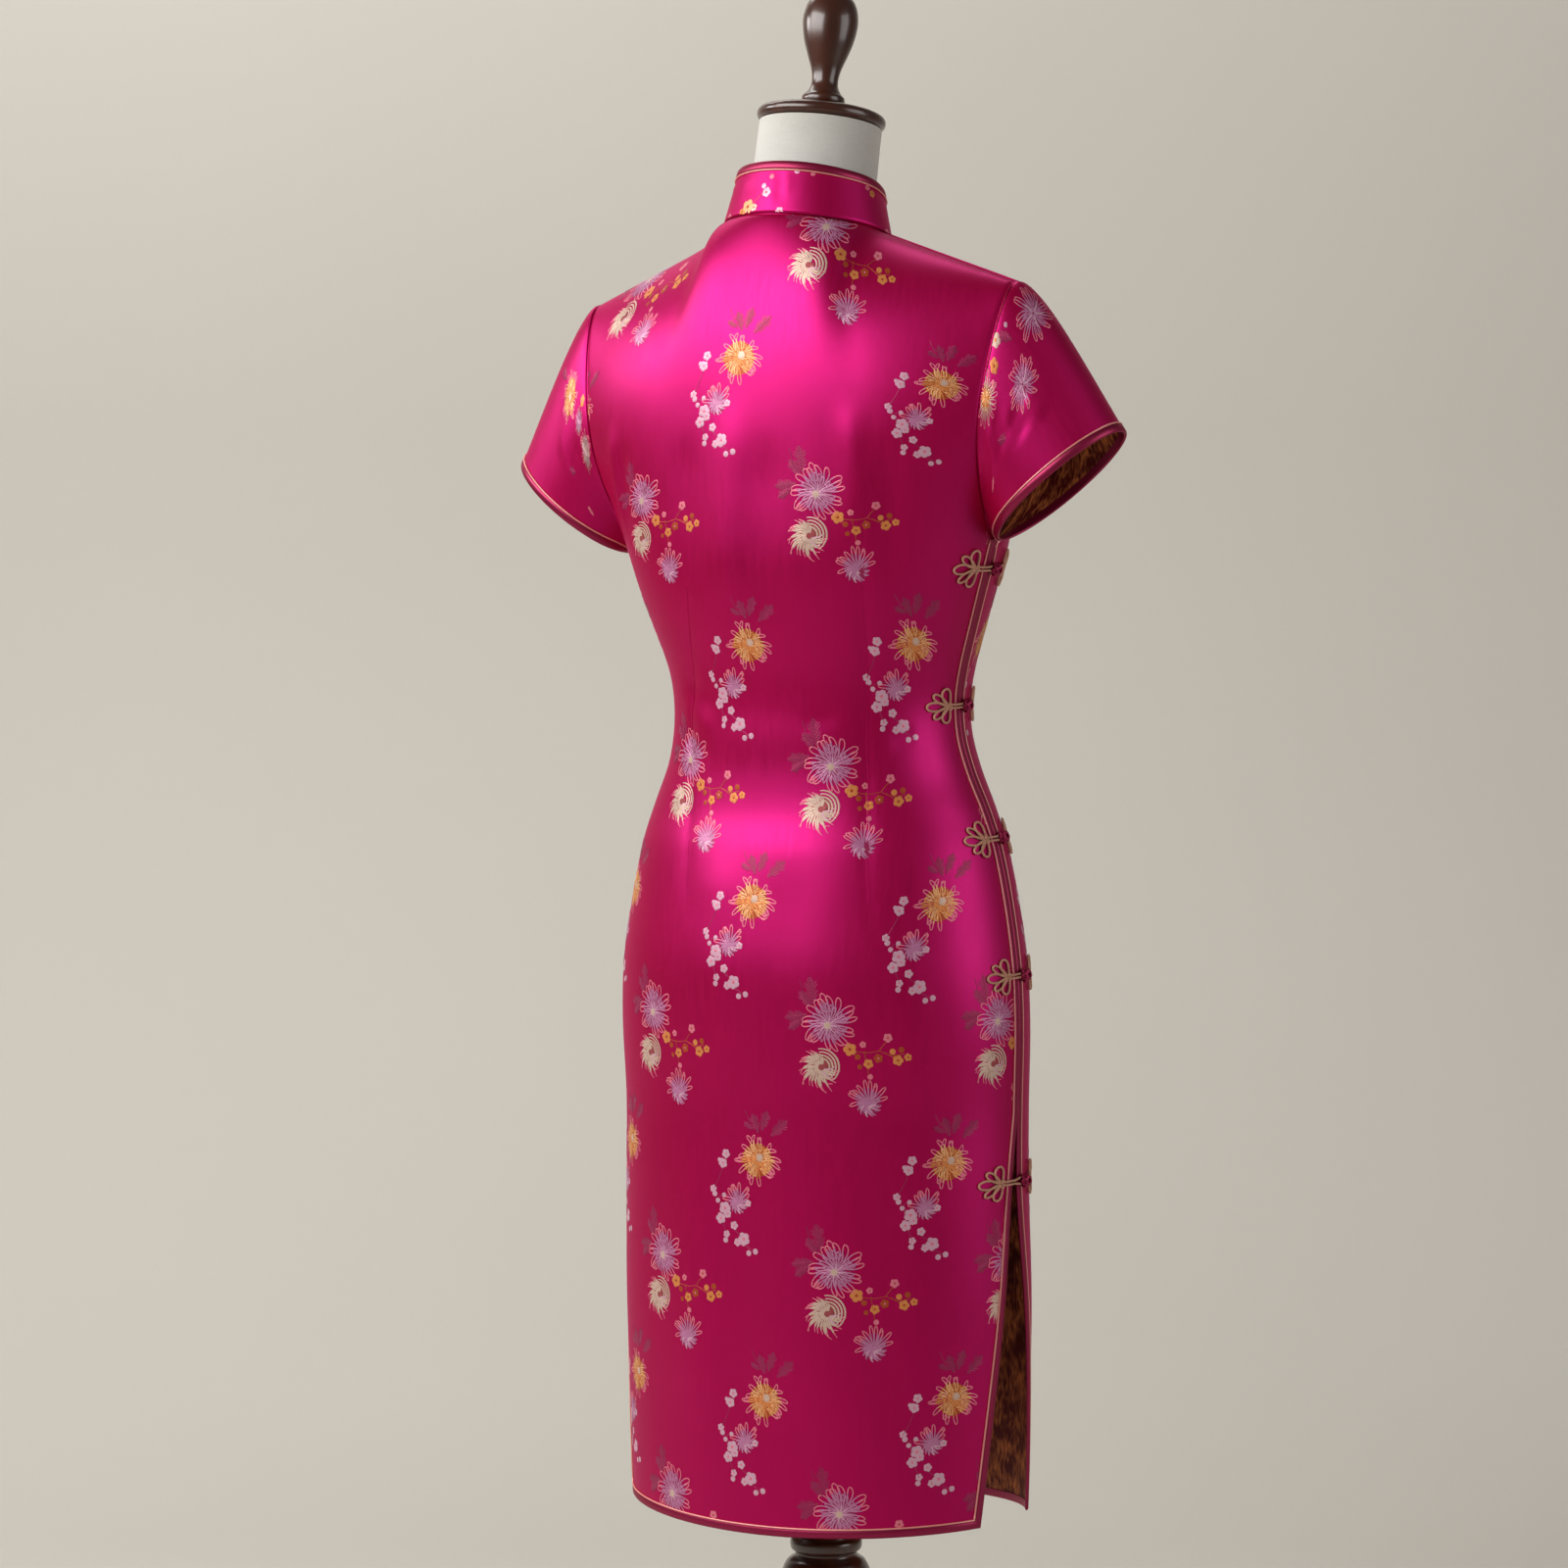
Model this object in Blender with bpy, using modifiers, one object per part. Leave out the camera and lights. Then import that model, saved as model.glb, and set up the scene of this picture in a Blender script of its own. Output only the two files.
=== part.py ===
"""A cheongsam on a limbless dress form: cloth panels, collar, sleeves, bindings and frogs,
with the torso, neck cap and turned stand that carry them.

Metres, +Z up. The wearer faces -Y and the wearer's left is +X. The origin is on the floor
under the middle of the stand. Cloth is built from grids of points on the garment's outer
face: each piece is a set of grid cells given a thickness along the surface normals.
"""
import math

import bmesh
import bpy
import numpy as np
from mathutils import Matrix, Vector
from mathutils.bvhtree import BVHTree

# Cloth
WALL = 0.0012
SEAM = 0.0003
EDGE_TRIM = 0.0002
EDGE_CLEAR = 0.0004
MERGE = 0.000001
BINDING_WIDTH = 0.0083
BINDING_THICK = 0.0009

# Heights of the garment
HEM_Z = 0.361
HEM_SIDE_RISE = 0.008
UNDERARM_Z = 1.155
TIP_Z = 1.358
NECK_SIDE_Z = 1.405
NECK_BACK_RISE = 0.016
NECK_FRONT_DROP = 0.020

# Widths and depths above the underarm
TIP_X = 0.191
TIP_Y = 0.036
NECK_X = 0.070
NECK_Y = 0.030
NECK_DEPTH = 0.062
NECK_CORNER = 0.002
ARMHOLE_BACK = 0.066
ARMHOLE_FRONT = 0.058

# The left shoulder hangs lower than the right one
LEAN = 0.066
LEAN_START_X = 0.050
LEAN_START_Z = 1.02

# Side slits: the angle by which each edge draws back, in degrees
BACK_SLIT = {"top": 0.70, "open": 20.0, "power": 0.93}
FRONT_SLIT = {"top": 0.64, "open": 20.0, "power": 1.3}

# The slanted front opening, from the middle of the neck to the right underarm
LAPEL_POWER = 1.36
LAPEL_BIND_SLANT = 1.25
BIND_FADE_T = 0.35

# The underlap: columns, how far it reaches under the lapel (degrees, less near the neck),
# how deep it lies there and over what share of that reach it comes up to the outer face
UNDERLAP_COLUMNS = 10
UNDERLAP_REACH = 14.0
UNDERLAP_SHORTER = 0.55
UNDERLAP_DROP = 0.0038
UNDERLAP_EASE = 28.0
UNDERLAP_EASE_SHORTER = 9.0
UNDERLAP_EASE_FROM = 0.45
UNDERLAP_UP_FROM_T = 0.1
UNDERLAP_UP_TO_T = 0.3

# Body sections up to the underarm: height, half width, depth to the back and to the front,
# and how far the widest line lies behind the stand. The last row only sets the slope there.
SECTION_COLUMNS = ("z", "half_width", "back", "front", "middle")
SECTIONS = (
    (0.361, 0.1720, 0.121, 0.121, -0.0050),
    (0.440, 0.1745, 0.122, 0.122, -0.0040),
    (0.540, 0.1770, 0.124, 0.124, -0.0025),
    (0.640, 0.1755, 0.123, 0.123, 0.0000),
    (0.700, 0.1755, 0.123, 0.122, 0.0000),
    (0.766, 0.1775, 0.126, 0.122, 0.0015),
    (0.815, 0.1755, 0.127, 0.119, 0.0015),
    (0.863, 0.1685, 0.123, 0.113, 0.0005),
    (0.911, 0.1585, 0.115, 0.107, 0.0010),
    (0.943, 0.1475, 0.107, 0.103, 0.0015),
    (0.975, 0.1340, 0.102, 0.102, 0.0030),
    (1.003, 0.1270, 0.099, 0.100, 0.0060),
    (1.030, 0.1260, 0.097, 0.100, 0.0080),
    (1.055, 0.1300, 0.099, 0.103, 0.0090),
    (1.087, 0.1400, 0.105, 0.109, 0.0115),
    (1.119, 0.1505, 0.110, 0.117, 0.0140),
    (1.155, 0.1615, 0.113, 0.122, 0.0160),
    (1.190, 0.1700, 0.113, 0.119, 0.0140),
)
SQUARENESS = 2.15
SQUARE_FROM_Z = 0.95

# How the cloth rolls in to the shoulder seam, at the middle, beside the neck and at the tip
ROLL_COLUMNS = ("x", "back_power", "back_root", "front_power", "front_root")
ROLL = (
    (0.0, 3.5, 0.95, 1.6, 1.00),
    (NECK_X, 4.0, 0.52, 2.0, 0.72),
    (TIP_X, 2.3, 0.50, 2.3, 0.50),
)
ARMHOLE_CURVE = 0.75
SCOOP_END = 0.6
SCOOP_POWER = 0.8
EDGE_LIMIT = 0.95

# Grid rows below the underarm
BODY_ROWS = (
    0.361, HEM_Z + BINDING_WIDTH, 0.440, 0.520, 0.600, 0.640, 0.700, 0.745, 0.790, 0.830,
    0.870, 0.910, 0.945, 0.974, 0.997, 1.016, 1.035, 1.057, 1.086, 1.116, 1.146, 1.155,
)
ARM_ROWS = 11
NECK_STEPS = 5
SHOULDER_STEPS = 5
TOP_FIT_T = 0.25

# Sleeves: the hem's outer and inner points, half its front to back width, and how far the
# cap swells outwards and upwards
SLEEVE_OUT = Vector((0.2735, 0.015, 1.2345))
SLEEVE_IN = Vector((0.1740, 0.024, 1.1540))
SLEEVE_HALF_DEPTH = 0.045
SLEEVE_BULGE = (0.0056, 0.0035)
# Rings of a sleeve: share of its length, and at most this share of the way to the binding
SLEEVE_RINGS = ((0.0, 0.55), (0.10, 0.59), (0.28, 0.662), (0.50, 0.75), (0.74, 0.846))

# Collar
COLLAR_TOP_X = 0.059
COLLAR_TOP_Y = 0.0256
COLLAR_TOP_DEPTH = 0.054
COLLAR_TOP_FRONT = 0.060
COLLAR_SIDE_RISE = 0.0415
COLLAR_END = 178.6
COLLAR_ROUNDING = 22.0
COLLAR_ROUND_DROP = 0.30
COLLAR_BIND_SHARE = 0.8
COLLAR_FRONT_RADIUS = 0.058
COLLAR_STEPS = 30
COLLAR_WALL = 0.0018

# Frogs: heights on the side opening; place along the lapel as the share of the height from
# the underarm to the top edge, and share of the lapel's slant; height above the neck seam
SIDE_FROG_Z = (1.133, 1.028, 0.921, 0.812, 0.646)
LAPEL_FROG_T = (0.48, 0.70)
LAPEL_FROG_TURN = 0.5
LAPEL_STEP_T = 0.02
COLLAR_FROG_UP = 0.0175
FROG_THICK = 0.0018
FROG_GAP = 0.0004
FROG_SPAN = 0.0036
FROG_JUNCTION = 0.0152
FROG_STEM_GAP = 0.0013
FROG_FOLDS = (-0.0036, 0.0040, 0.0110, 0.0180)
KNOT_RADIUS = 0.0065
KNOT_HEIGHT = 0.0045
KNOT_OFFSET = 0.0050
KNOT_RADII = (0.0, 0.4, 0.7, 0.9, 0.99)
RAY_REACH = 0.012
KNOT_SIDES = 8
KNOT_RINGS = 5

# Lobes of a frog half: direction and reach from the junction, and spread of the direction
LOBE_COLUMNS = ("angle", "reach", "spread", "hole_at", "hole_long", "hole_wide")
LOBES = (
    (0.0, 0.0300, 10.0, 0.0205, 0.0060, 0.0024),
    (64.0, 0.0165, 21.0, 0.0108, 0.0030, 0.0024),
    (-62.0, 0.0155, 19.0, 0.0102, 0.0028, 0.0021),
    (31.0, 0.0190, 5.0, 0.0, 0.0, 0.0),
    (-30.0, 0.0185, 5.0, 0.0, 0.0, 0.0),
)
LOBE_POINTS = (-1.3, -0.7, 0.0, 0.7, 1.3)
PETAL_POINTS = (-0.9, 0.9)
HOLE_POINTS = 5
FROG_CORE = 0.0036
STEM_HALF = 0.0016

# Dress form
FORM_INSET = 0.0125
FORM_SHOULDER_DROP = 0.0017
FORM_ROWS = (0.720, 0.730, 0.790, 0.850, 0.910, 0.960, 1.003, 1.040, 1.090, 1.155)
FORM_STEPS = 16
FORM_ARM_ROWS = 9
FORM_NECK_IN = 0.90
FORM_NECK_STEP = 0.004
FORM_NECK_RINGS = (0.5, 1.0)
NECK_LEAN = math.radians(11.0)
NECK_TOP = Vector((0.0, 0.0090, 1.492))
NECK_TOP_RADIUS = 0.0495

# Turned pieces as (radius, height) from the bottom up, in the piece's own frame
CAP_PROFILE = (
    (0.0475, 0.0), (0.0510, 0.0020), (0.0522, 0.0055), (0.0510, 0.0090), (0.0465, 0.0112),
    (0.0330, 0.0128), (0.0240, 0.0150), (0.0225, 0.0165),
)
FINIAL_PROFILE = (
    (0.0150, 0.0), (0.0172, 0.0022), (0.0172, 0.0062), (0.0145, 0.0092), (0.0112, 0.0150),
    (0.0108, 0.0220), (0.0124, 0.0300), (0.0160, 0.0400), (0.0200, 0.0520), (0.0222, 0.0640),
    (0.0222, 0.0730), (0.0195, 0.0830), (0.0140, 0.0900), (0.0070, 0.0935),
)
POST_PROFILE = (
    (0.0235, 0.0305), (0.0300, 0.0340), (0.0310, 0.0420), (0.0250, 0.0500), (0.0215, 0.0620),
    (0.0225, 0.0900), (0.0290, 0.1300), (0.0360, 0.1800), (0.0405, 0.2300), (0.0408, 0.2700),
    (0.0385, 0.3020), (0.0330, 0.3180), (0.0262, 0.3235), (0.0262, 0.3270), (0.0288, 0.3290),
    (0.0296, 0.3330), (0.0288, 0.3370), (0.0240, 0.3400), (0.0215, 0.3600), (0.0200, 0.4600),
    (0.0200, 0.6700), (0.0220, 0.6960), (0.0420, 0.7020), (0.0450, 0.7100), (0.0450, 0.7194),
)
BASE_PROFILE = (
    (0.1830, 0.0), (0.1890, 0.0030), (0.1900, 0.0090), (0.1860, 0.0160), (0.1740, 0.0200),
    (0.1500, 0.0215), (0.0900, 0.0245), (0.0560, 0.0275), (0.0480, 0.0300),
)

BASE_SIDES = 30
POST_SIDES = 16
CAP_SIDES = 20
FINIAL_SIDES = 14

# Colours: base colour, roughness, metallic
FINISHES = {
    "satin": ((0.55, 0.015, 0.22, 1.0), 0.35, 0.3),
    "satin_dark": ((0.20, 0.004, 0.05, 1.0), 0.4, 0.2),
    "gold_cord": ((0.62, 0.36, 0.14, 1.0), 0.45, 0.5),
    "form_cloth": ((0.56, 0.52, 0.45, 1.0), 0.9, 0.0),
    "dark_wood": ((0.055, 0.014, 0.005, 1.0), 0.3, 0.0),
}


def clear_scene():
    for item in list(bpy.data.objects):
        bpy.data.objects.remove(item, do_unlink=True)


def collection(name):
    made = bpy.data.collections.new(name)
    bpy.context.scene.collection.children.link(made)
    return made


def finish(name):
    found = bpy.data.materials.get(name)
    if found:
        return found
    colour, roughness, metallic = FINISHES[name]
    made = bpy.data.materials.new(name)
    made.use_nodes = True
    shader = made.node_tree.nodes["Principled BSDF"]
    shader.inputs["Base Color"].default_value = colour
    shader.inputs["Roughness"].default_value = roughness
    shader.inputs["Metallic"].default_value = metallic
    return made


def ramp(value, start, end):
    """0 before start, 1 after end, smooth between."""
    part = min(max((value - start) / (end - start), 0.0), 1.0)
    return part * part * (3.0 - 2.0 * part)


def section(z):
    """The body section at a height, read smoothly from the table by its column names."""
    last = len(SECTIONS) - 1
    z = min(max(z, HEM_Z), UNDERARM_Z)
    at = max(i for i in range(last - 1) if SECTIONS[i][0] <= z)
    low, high = SECTIONS[at], SECTIONS[at + 1]
    before, after = SECTIONS[max(at - 1, 0)], SECTIONS[min(at + 2, last)]
    span = high[0] - low[0]
    part = (z - low[0]) / span
    values = {"z": z}
    for column in range(1, len(SECTION_COLUMNS)):
        slope_low = (high[column] - before[column]) / (high[0] - before[0]) * span
        slope_high = (after[column] - low[column]) / (after[0] - low[0]) * span
        values[SECTION_COLUMNS[column]] = (
            low[column] * (2 * part**3 - 3 * part**2 + 1)
            + slope_low * (part**3 - 2 * part**2 + part)
            + high[column] * (3 * part**2 - 2 * part**3)
            + slope_high * (part**3 - part**2)
        )
    return values


def lean(point):
    """Lower the left shoulder and lift the right one."""
    x, y, z = point
    outside = math.copysign(max(abs(x) - LEAN_START_X, 0.0), x)
    return (x, y, z - LEAN * outside * ramp(z, LEAN_START_Z, UNDERARM_Z))


def body_point(side, angle, z, inset=0.0):
    """A point below the underarm; angle in degrees from the middle of the back or front."""
    sizes = section(z)
    depth = sizes["back"] if side > 0 else sizes["front"]
    power = 2.0 + (SQUARENESS - 2.0) * ramp(z, SQUARE_FROM_Z, UNDERARM_Z)
    sine = math.sin(math.radians(angle))
    across = max(1.0 - abs(sine)**power, 0.0)**(1.0 / power)
    across = math.copysign(across, math.cos(math.radians(angle)))
    x = (sizes["half_width"] - inset) * sine
    y = sizes["middle"] + side * (depth - inset) * across
    return lean((x, y, z))


def hem_height(angle, z):
    """Rows near the hem rise a little towards the sides."""
    rise = HEM_SIDE_RISE * math.sin(math.radians(angle))**2
    return z + rise * (1.0 - ramp(z, HEM_Z, BACK_SLIT["top"]))


def neck_ring(around, inset=0.0):
    """A point of the neck seam; around in degrees from the middle of the back."""
    cosine = math.cos(math.radians(around))
    rise = NECK_BACK_RISE if cosine > 0 else NECK_FRONT_DROP
    x = (NECK_X - inset) * math.sin(math.radians(around))
    return (x, NECK_Y + (NECK_DEPTH - inset) * cosine, NECK_SIDE_Z + rise * cosine)


def collar_top_ring(around):
    """A point of the collar's top edge; around in degrees from the middle of the back."""
    cosine = math.cos(math.radians(around))
    rise = NECK_BACK_RISE if cosine > 0 else NECK_FRONT_DROP
    depth = COLLAR_TOP_DEPTH if cosine > 0 else COLLAR_TOP_FRONT
    x = COLLAR_TOP_X * math.sin(math.radians(around))
    z = NECK_SIDE_Z + COLLAR_SIDE_RISE + rise * cosine
    return (x, COLLAR_TOP_Y + depth * cosine, z)


def top_line(side, x, inset=0.0, drop=0.0):
    """Depth and height of a panel's top edge: the neck ring, then the shoulder seam."""
    width = NECK_X - inset
    if abs(x) < width:
        around = math.degrees(math.asin(x / width))
        around = around if side > 0 else 180.0 - around
        point = neck_ring(around, inset)
        return point[1], point[2] - drop
    part = (abs(x) - width) / (TIP_X - width)
    return NECK_Y + (TIP_Y - NECK_Y) * part, NECK_SIDE_Z + (TIP_Z - NECK_SIDE_Z) * part - drop


def armhole_x(t):
    at_underarm = section(UNDERARM_Z)["half_width"]
    return at_underarm + (TIP_X - at_underarm) * t**ARMHOLE_CURVE


def shoulder_roll(side, x):
    """Power and root of the roll towards the shoulder, blended along the seam."""
    middle, neck, tip = (dict(zip(ROLL_COLUMNS, row)) for row in ROLL)
    face = "back" if side > 0 else "front"
    to_neck = ramp(abs(x), middle["x"], neck["x"])
    to_tip = ramp(abs(x), neck["x"], tip["x"])
    values = []
    for key in (face + "_power", face + "_root"):
        inside = middle[key] + (neck[key] - middle[key]) * to_neck
        values.append(inside + (tip[key] - neck[key]) * to_tip)
    return values


def upper_point(side, angle, t, inset=0.0, drop=0.0):
    """A point above the underarm: t is 0 at the underarm's height and 1 at the top edge."""
    sizes = section(UNDERARM_Z)
    reach = ARMHOLE_BACK if side > 0 else ARMHOLE_FRONT
    depth = (sizes["back"] if side > 0 else sizes["front"]) - inset
    scoop = (1.0 - (1.0 - min(t / SCOOP_END, 1.0))**2)**SCOOP_POWER
    edge = min(reach * scoop / depth, EDGE_LIMIT)
    power = SQUARENESS
    x = (armhole_x(t) - inset) * math.sin(math.radians(angle))
    wide = (armhole_x(t) - inset) / (1.0 - edge**power)**(1.0 / power)
    y_out = sizes["middle"] + side * depth * (1.0 - abs(x / wide)**power)**(1.0 / power)
    y_top, z_top = top_line(side, x, inset, drop)
    power_in, root_in = shoulder_roll(side, x)
    roll = max(1.0 - t**power_in, 0.0)**root_in
    z = UNDERARM_Z + t * (z_top - UNDERARM_Z)
    return lean((x, y_top + (y_out - y_top) * roll, z))


def arm_rows(count=ARM_ROWS):
    return [(1.0 - math.cos(math.pi * k / count)) / 2.0 for k in range(count + 1)]


def half_angles(t):
    """Column angles from the middle to the armhole; near the top they follow the neck."""
    steps = NECK_STEPS + SHOULDER_STEPS
    even = [90.0 * i / steps for i in range(steps + 1)]
    corner = math.degrees(math.asin(NECK_X / TIP_X))
    fitted = []
    for i in range(NECK_STEPS + 1):
        x = NECK_X * math.sin(math.pi / 2 * i / NECK_STEPS)
        fitted.append(math.degrees(math.asin(x / TIP_X)))
    for i in range(1, SHOULDER_STEPS + 1):
        fitted.append(corner + (90.0 - corner) * i / SHOULDER_STEPS)
    blend = ramp(t, TOP_FIT_T, 1.0)
    return [a + (b - a) * blend for a, b in zip(even, fitted)]


def slit_angle(slit, z):
    if z >= slit["top"]:
        return 90.0
    part = (slit["top"] - z) / (slit["top"] - HEM_Z)
    return 90.0 - slit["open"] * part**slit["power"]


def edge_angles(angles, z, side):
    """Spread body columns to the side edges, with the second one a binding's width in."""
    slit = BACK_SLIT if side > 0 else FRONT_SLIT
    edge = slit_angle(slit, z)
    spread = [a / 90.0 * edge for a in angles]
    sizes = section(z)
    depth = sizes["back"] if side > 0 else sizes["front"]
    bound = math.degrees(BINDING_WIDTH / depth)
    spread[1] = -edge + bound
    spread[-2] = edge - bound
    return spread


def panel_angles(side, t):
    half = half_angles(t)
    if side > 0:
        return [-a for a in reversed(half)] + half[1:]
    left_edge = -90.0 * (1.0 - t)**LAPEL_POWER
    return [left_edge + (90.0 - left_edge) * a / 90.0 for a in front_shares(half)]


def front_shares(half):
    """The outer front's columns: all of the half angles, from the lapel to the left armhole."""
    doubled = []
    for low, high in zip(half, half[1:]):
        doubled += [low, (low + high) / 2.0]
    doubled.append(half[-1])
    return doubled


def panel_grid(side):
    """Rows from the hem to the shoulders; columns from the wearer's right to the left."""
    rows = []
    for z in BODY_ROWS:
        angles = edge_angles(panel_angles(side, 0.0), z, side)
        rows.append([body_point(side, a, hem_height(a, z)) for a in angles])
    for t in arm_rows()[1:]:
        rows.append([upper_point(side, a, t) for a in bound_columns(side, t)])
    return np.array(rows)


def bound_columns(side, t):
    """Upper columns; the outer front keeps a binding's width along its slanted edge."""
    angles = panel_angles(side, t)
    fade = 1.0 - ramp(t, 0.0, BIND_FADE_T)
    bound = 90.0 - math.degrees(BINDING_WIDTH / section(UNDERARM_Z)["back"])
    if side < 0:
        here = upper_point(side, angles[0], t)
        step = upper_point(side, angles[0] + 1.0, t)
        wide = BINDING_WIDTH * LAPEL_BIND_SLANT / math.dist(here, step)
        angles[1] = angles[0] + wide
    else:
        angles[1] += (-bound - angles[1]) * fade
    angles[-2] += (bound - angles[-2]) * fade
    return angles


def underlap_grid():
    """The right front shoulder piece, from the armhole to a hand's reach under the lapel."""
    rows = []
    for t in arm_rows()[1:]:
        inner = -90.0 * (1.0 - t)**LAPEL_POWER
        end = inner + UNDERLAP_REACH * (1.0 - UNDERLAP_SHORTER * t)
        fit = ramp(t, UNDERLAP_UP_TO_T, 1.0)
        row = []
        for i in range(UNDERLAP_COLUMNS + 1):
            even = -90.0 + (end + 90.0) * i / UNDERLAP_COLUMNS
            angle = even + (underlap_top_angle(i, end) - even) * fit
            x, y, z = upper_point(-1, angle, t)
            clear = (inner - angle) / (UNDERLAP_EASE - UNDERLAP_EASE_SHORTER * t)
            up = ramp(clear, UNDERLAP_EASE_FROM, 1.0)
            under = 1.0 - up * ramp(t, UNDERLAP_UP_FROM_T, UNDERLAP_UP_TO_T)
            row.append((x, y, z, under))
        rows.append(row)
    return np.array(rows)


def underlap_top_angle(i, end):
    """Columns of the underlap's top edge: the shoulder seam, then round the neck."""
    corner = math.degrees(math.asin(NECK_X / TIP_X))
    on_shoulder = UNDERLAP_COLUMNS // 2
    if i <= on_shoulder:
        return -90.0 + (90.0 - corner) * i / on_shoulder
    around = math.pi / 2 * (1.0 - (i - on_shoulder) / (UNDERLAP_COLUMNS - on_shoulder))
    reach = math.degrees(math.asin(NECK_X * math.sin(around) / TIP_X))
    return -reach + end * (1.0 - reach / corner)


def normals(grid, outward, wrap=False):
    """Unit normals of a grid of points, turned to the side that outward() points to."""
    if wrap:
        padded = np.concatenate([grid[:, -1:], grid, grid[:, :1]], axis=1)
        along = (padded[:, 2:] - padded[:, :-2]) / 2.0
    else:
        along = np.gradient(grid, axis=1)
    up = np.gradient(grid, axis=0)
    cross = np.cross(along, up)
    length = np.linalg.norm(cross, axis=2, keepdims=True)
    unit = cross / np.maximum(length, 1e-12)
    facing = np.sum(unit * outward(grid), axis=2)
    return unit if facing.mean() > 0 else -unit


def trim(grid, amount, edges):
    """Draw the named edges of a grid in, along the cloth, to leave room at the seams."""
    out = grid.copy()

    def pull(edge, inner):
        step = inner - edge
        length = np.linalg.norm(step, axis=-1, keepdims=True)
        return edge + step / np.maximum(length, 1e-9) * amount

    if "bottom" in edges:
        out[0] = pull(out[0], out[1])
    if "top" in edges:
        out[-1] = pull(out[-1], out[-2])
    if "first" in edges:
        out[:, 0] = pull(out[:, 0], out[:, 1])
    if "last" in edges:
        out[:, -1] = pull(out[:, -1], out[:, -2])
    return out


def level_seam(grid, unit):
    """Along the shoulder seam both panels share one normal, so their edges stay parallel."""
    on_shoulder = np.abs(grid[-1, :, 0]) > NECK_X - NECK_CORNER
    unit[-1, on_shoulder, 1] = 0.0
    unit[-1] /= np.linalg.norm(unit[-1], axis=1, keepdims=True)
    return unit


def add_object(name, mesh, material, group):
    made = bpy.data.objects.new(name, mesh)
    mesh.materials.append(finish(material))
    group.objects.link(made)
    return made


def mesh_from_bmesh(name, work):
    bmesh.ops.recalc_face_normals(work, faces=work.faces)
    mesh = bpy.data.meshes.new(name)
    work.to_mesh(mesh)
    work.free()
    return mesh


def plate(name, grid, unit, cells, low, high, material, group, wrap=False):
    """A closed solid over a set of grid cells, from low to high along the unit normals."""
    low_points = grid + unit * low
    high_points = grid + unit * high
    columns = grid.shape[1]
    work = bmesh.new()
    made = {}

    def corner(layer, row, column):
        column = column % columns if wrap else column
        key = (layer, row, column)
        if key not in made:
            source = high_points if layer else low_points
            made[key] = work.verts.new(source[row, column])
        return made[key]

    edges = {}
    for row, column in cells:
        loop = [(row, column), (row, column + 1), (row + 1, column + 1), (row + 1, column)]
        loop = [(r, c % columns if wrap else c) for r, c in loop]
        for half in (loop[:3], loop[2:] + loop[:1]):
            work.faces.new([corner(1, r, c) for r, c in half])
            work.faces.new([corner(0, r, c) for r, c in reversed(half)])
        for a, b in zip(loop, loop[1:] + loop[:1]):
            edges[(a, b)] = True
    for a, b in edges:
        if (b, a) not in edges:
            work.faces.new([corner(1, *b), corner(1, *a), corner(0, *a), corner(0, *b)])
    bmesh.ops.remove_doubles(work, verts=work.verts, dist=MERGE)
    return add_object(name, mesh_from_bmesh(name, work), material, group)


def all_cells(grid, wrap=False):
    columns = grid.shape[1] if wrap else grid.shape[1] - 1
    return [(r, c) for r in range(grid.shape[0] - 1) for c in range(columns)]


def away_from(side):
    return lambda grid: np.broadcast_to(np.array((0.0, side, 0.0)), grid.shape)


def away_from_axis(centre):
    return lambda grid: (grid - np.array(centre)) * np.array((1.0, 1.0, 0.0))


def make_panels(group):
    """Back and outer front, with the bindings that follow their free edges."""
    arm_start = len(BODY_ROWS) - 1
    for side, name in ((1, "back_panel"), (-1, "front_panel")):
        grid = trim(panel_grid(side), EDGE_TRIM, ("top", "first", "last"))
        unit = level_seam(grid, normals(grid, away_from(side)))
        plate(name, grid, unit, all_cells(grid), -WALL, 0.0, "satin", group)
        last = grid.shape[1] - 2
        slit_row = BODY_ROWS.index(BACK_SLIT["top"] if side > 0 else FRONT_SLIT["top"])
        cells = [(0, c) for c in range(last + 1)]
        cells += [(r, 0) for r in range(1, arm_start - 1)]
        cells += [(r, last) for r in range(1, slit_row)]
        label = "back_binding" if side > 0 else "front_binding"
        plate(label, grid, unit, cells, SEAM, SEAM + BINDING_THICK, "satin_dark", group)
        if side < 0:
            cells = [(r, 0) for r in range(arm_start + 1, grid.shape[0] - 1)]
            plate("lapel_binding", grid, unit, cells, SEAM, SEAM + BINDING_THICK,
                  "satin_dark", group)


def make_underlap(group):
    rows = underlap_grid()
    grid = trim(rows[:, :, :3], EDGE_TRIM, ("top", "first"))
    unit = level_seam(grid, normals(grid, away_from(-1)))
    grid = grid - unit * (rows[:, :, 3:] * UNDERLAP_DROP)
    plate("underlap", grid, unit, all_cells(grid), -WALL, 0.0, "satin", group)


def armhole_loop(hand):
    """The armhole's points: up the back edge, then down the front edge."""
    ts = arm_rows()
    back = [upper_point(1, 90.0 * hand, t) for t in ts]
    front = [upper_point(-1, 90.0 * hand, t) for t in reversed(ts[1:-1])]
    return back + front


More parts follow.
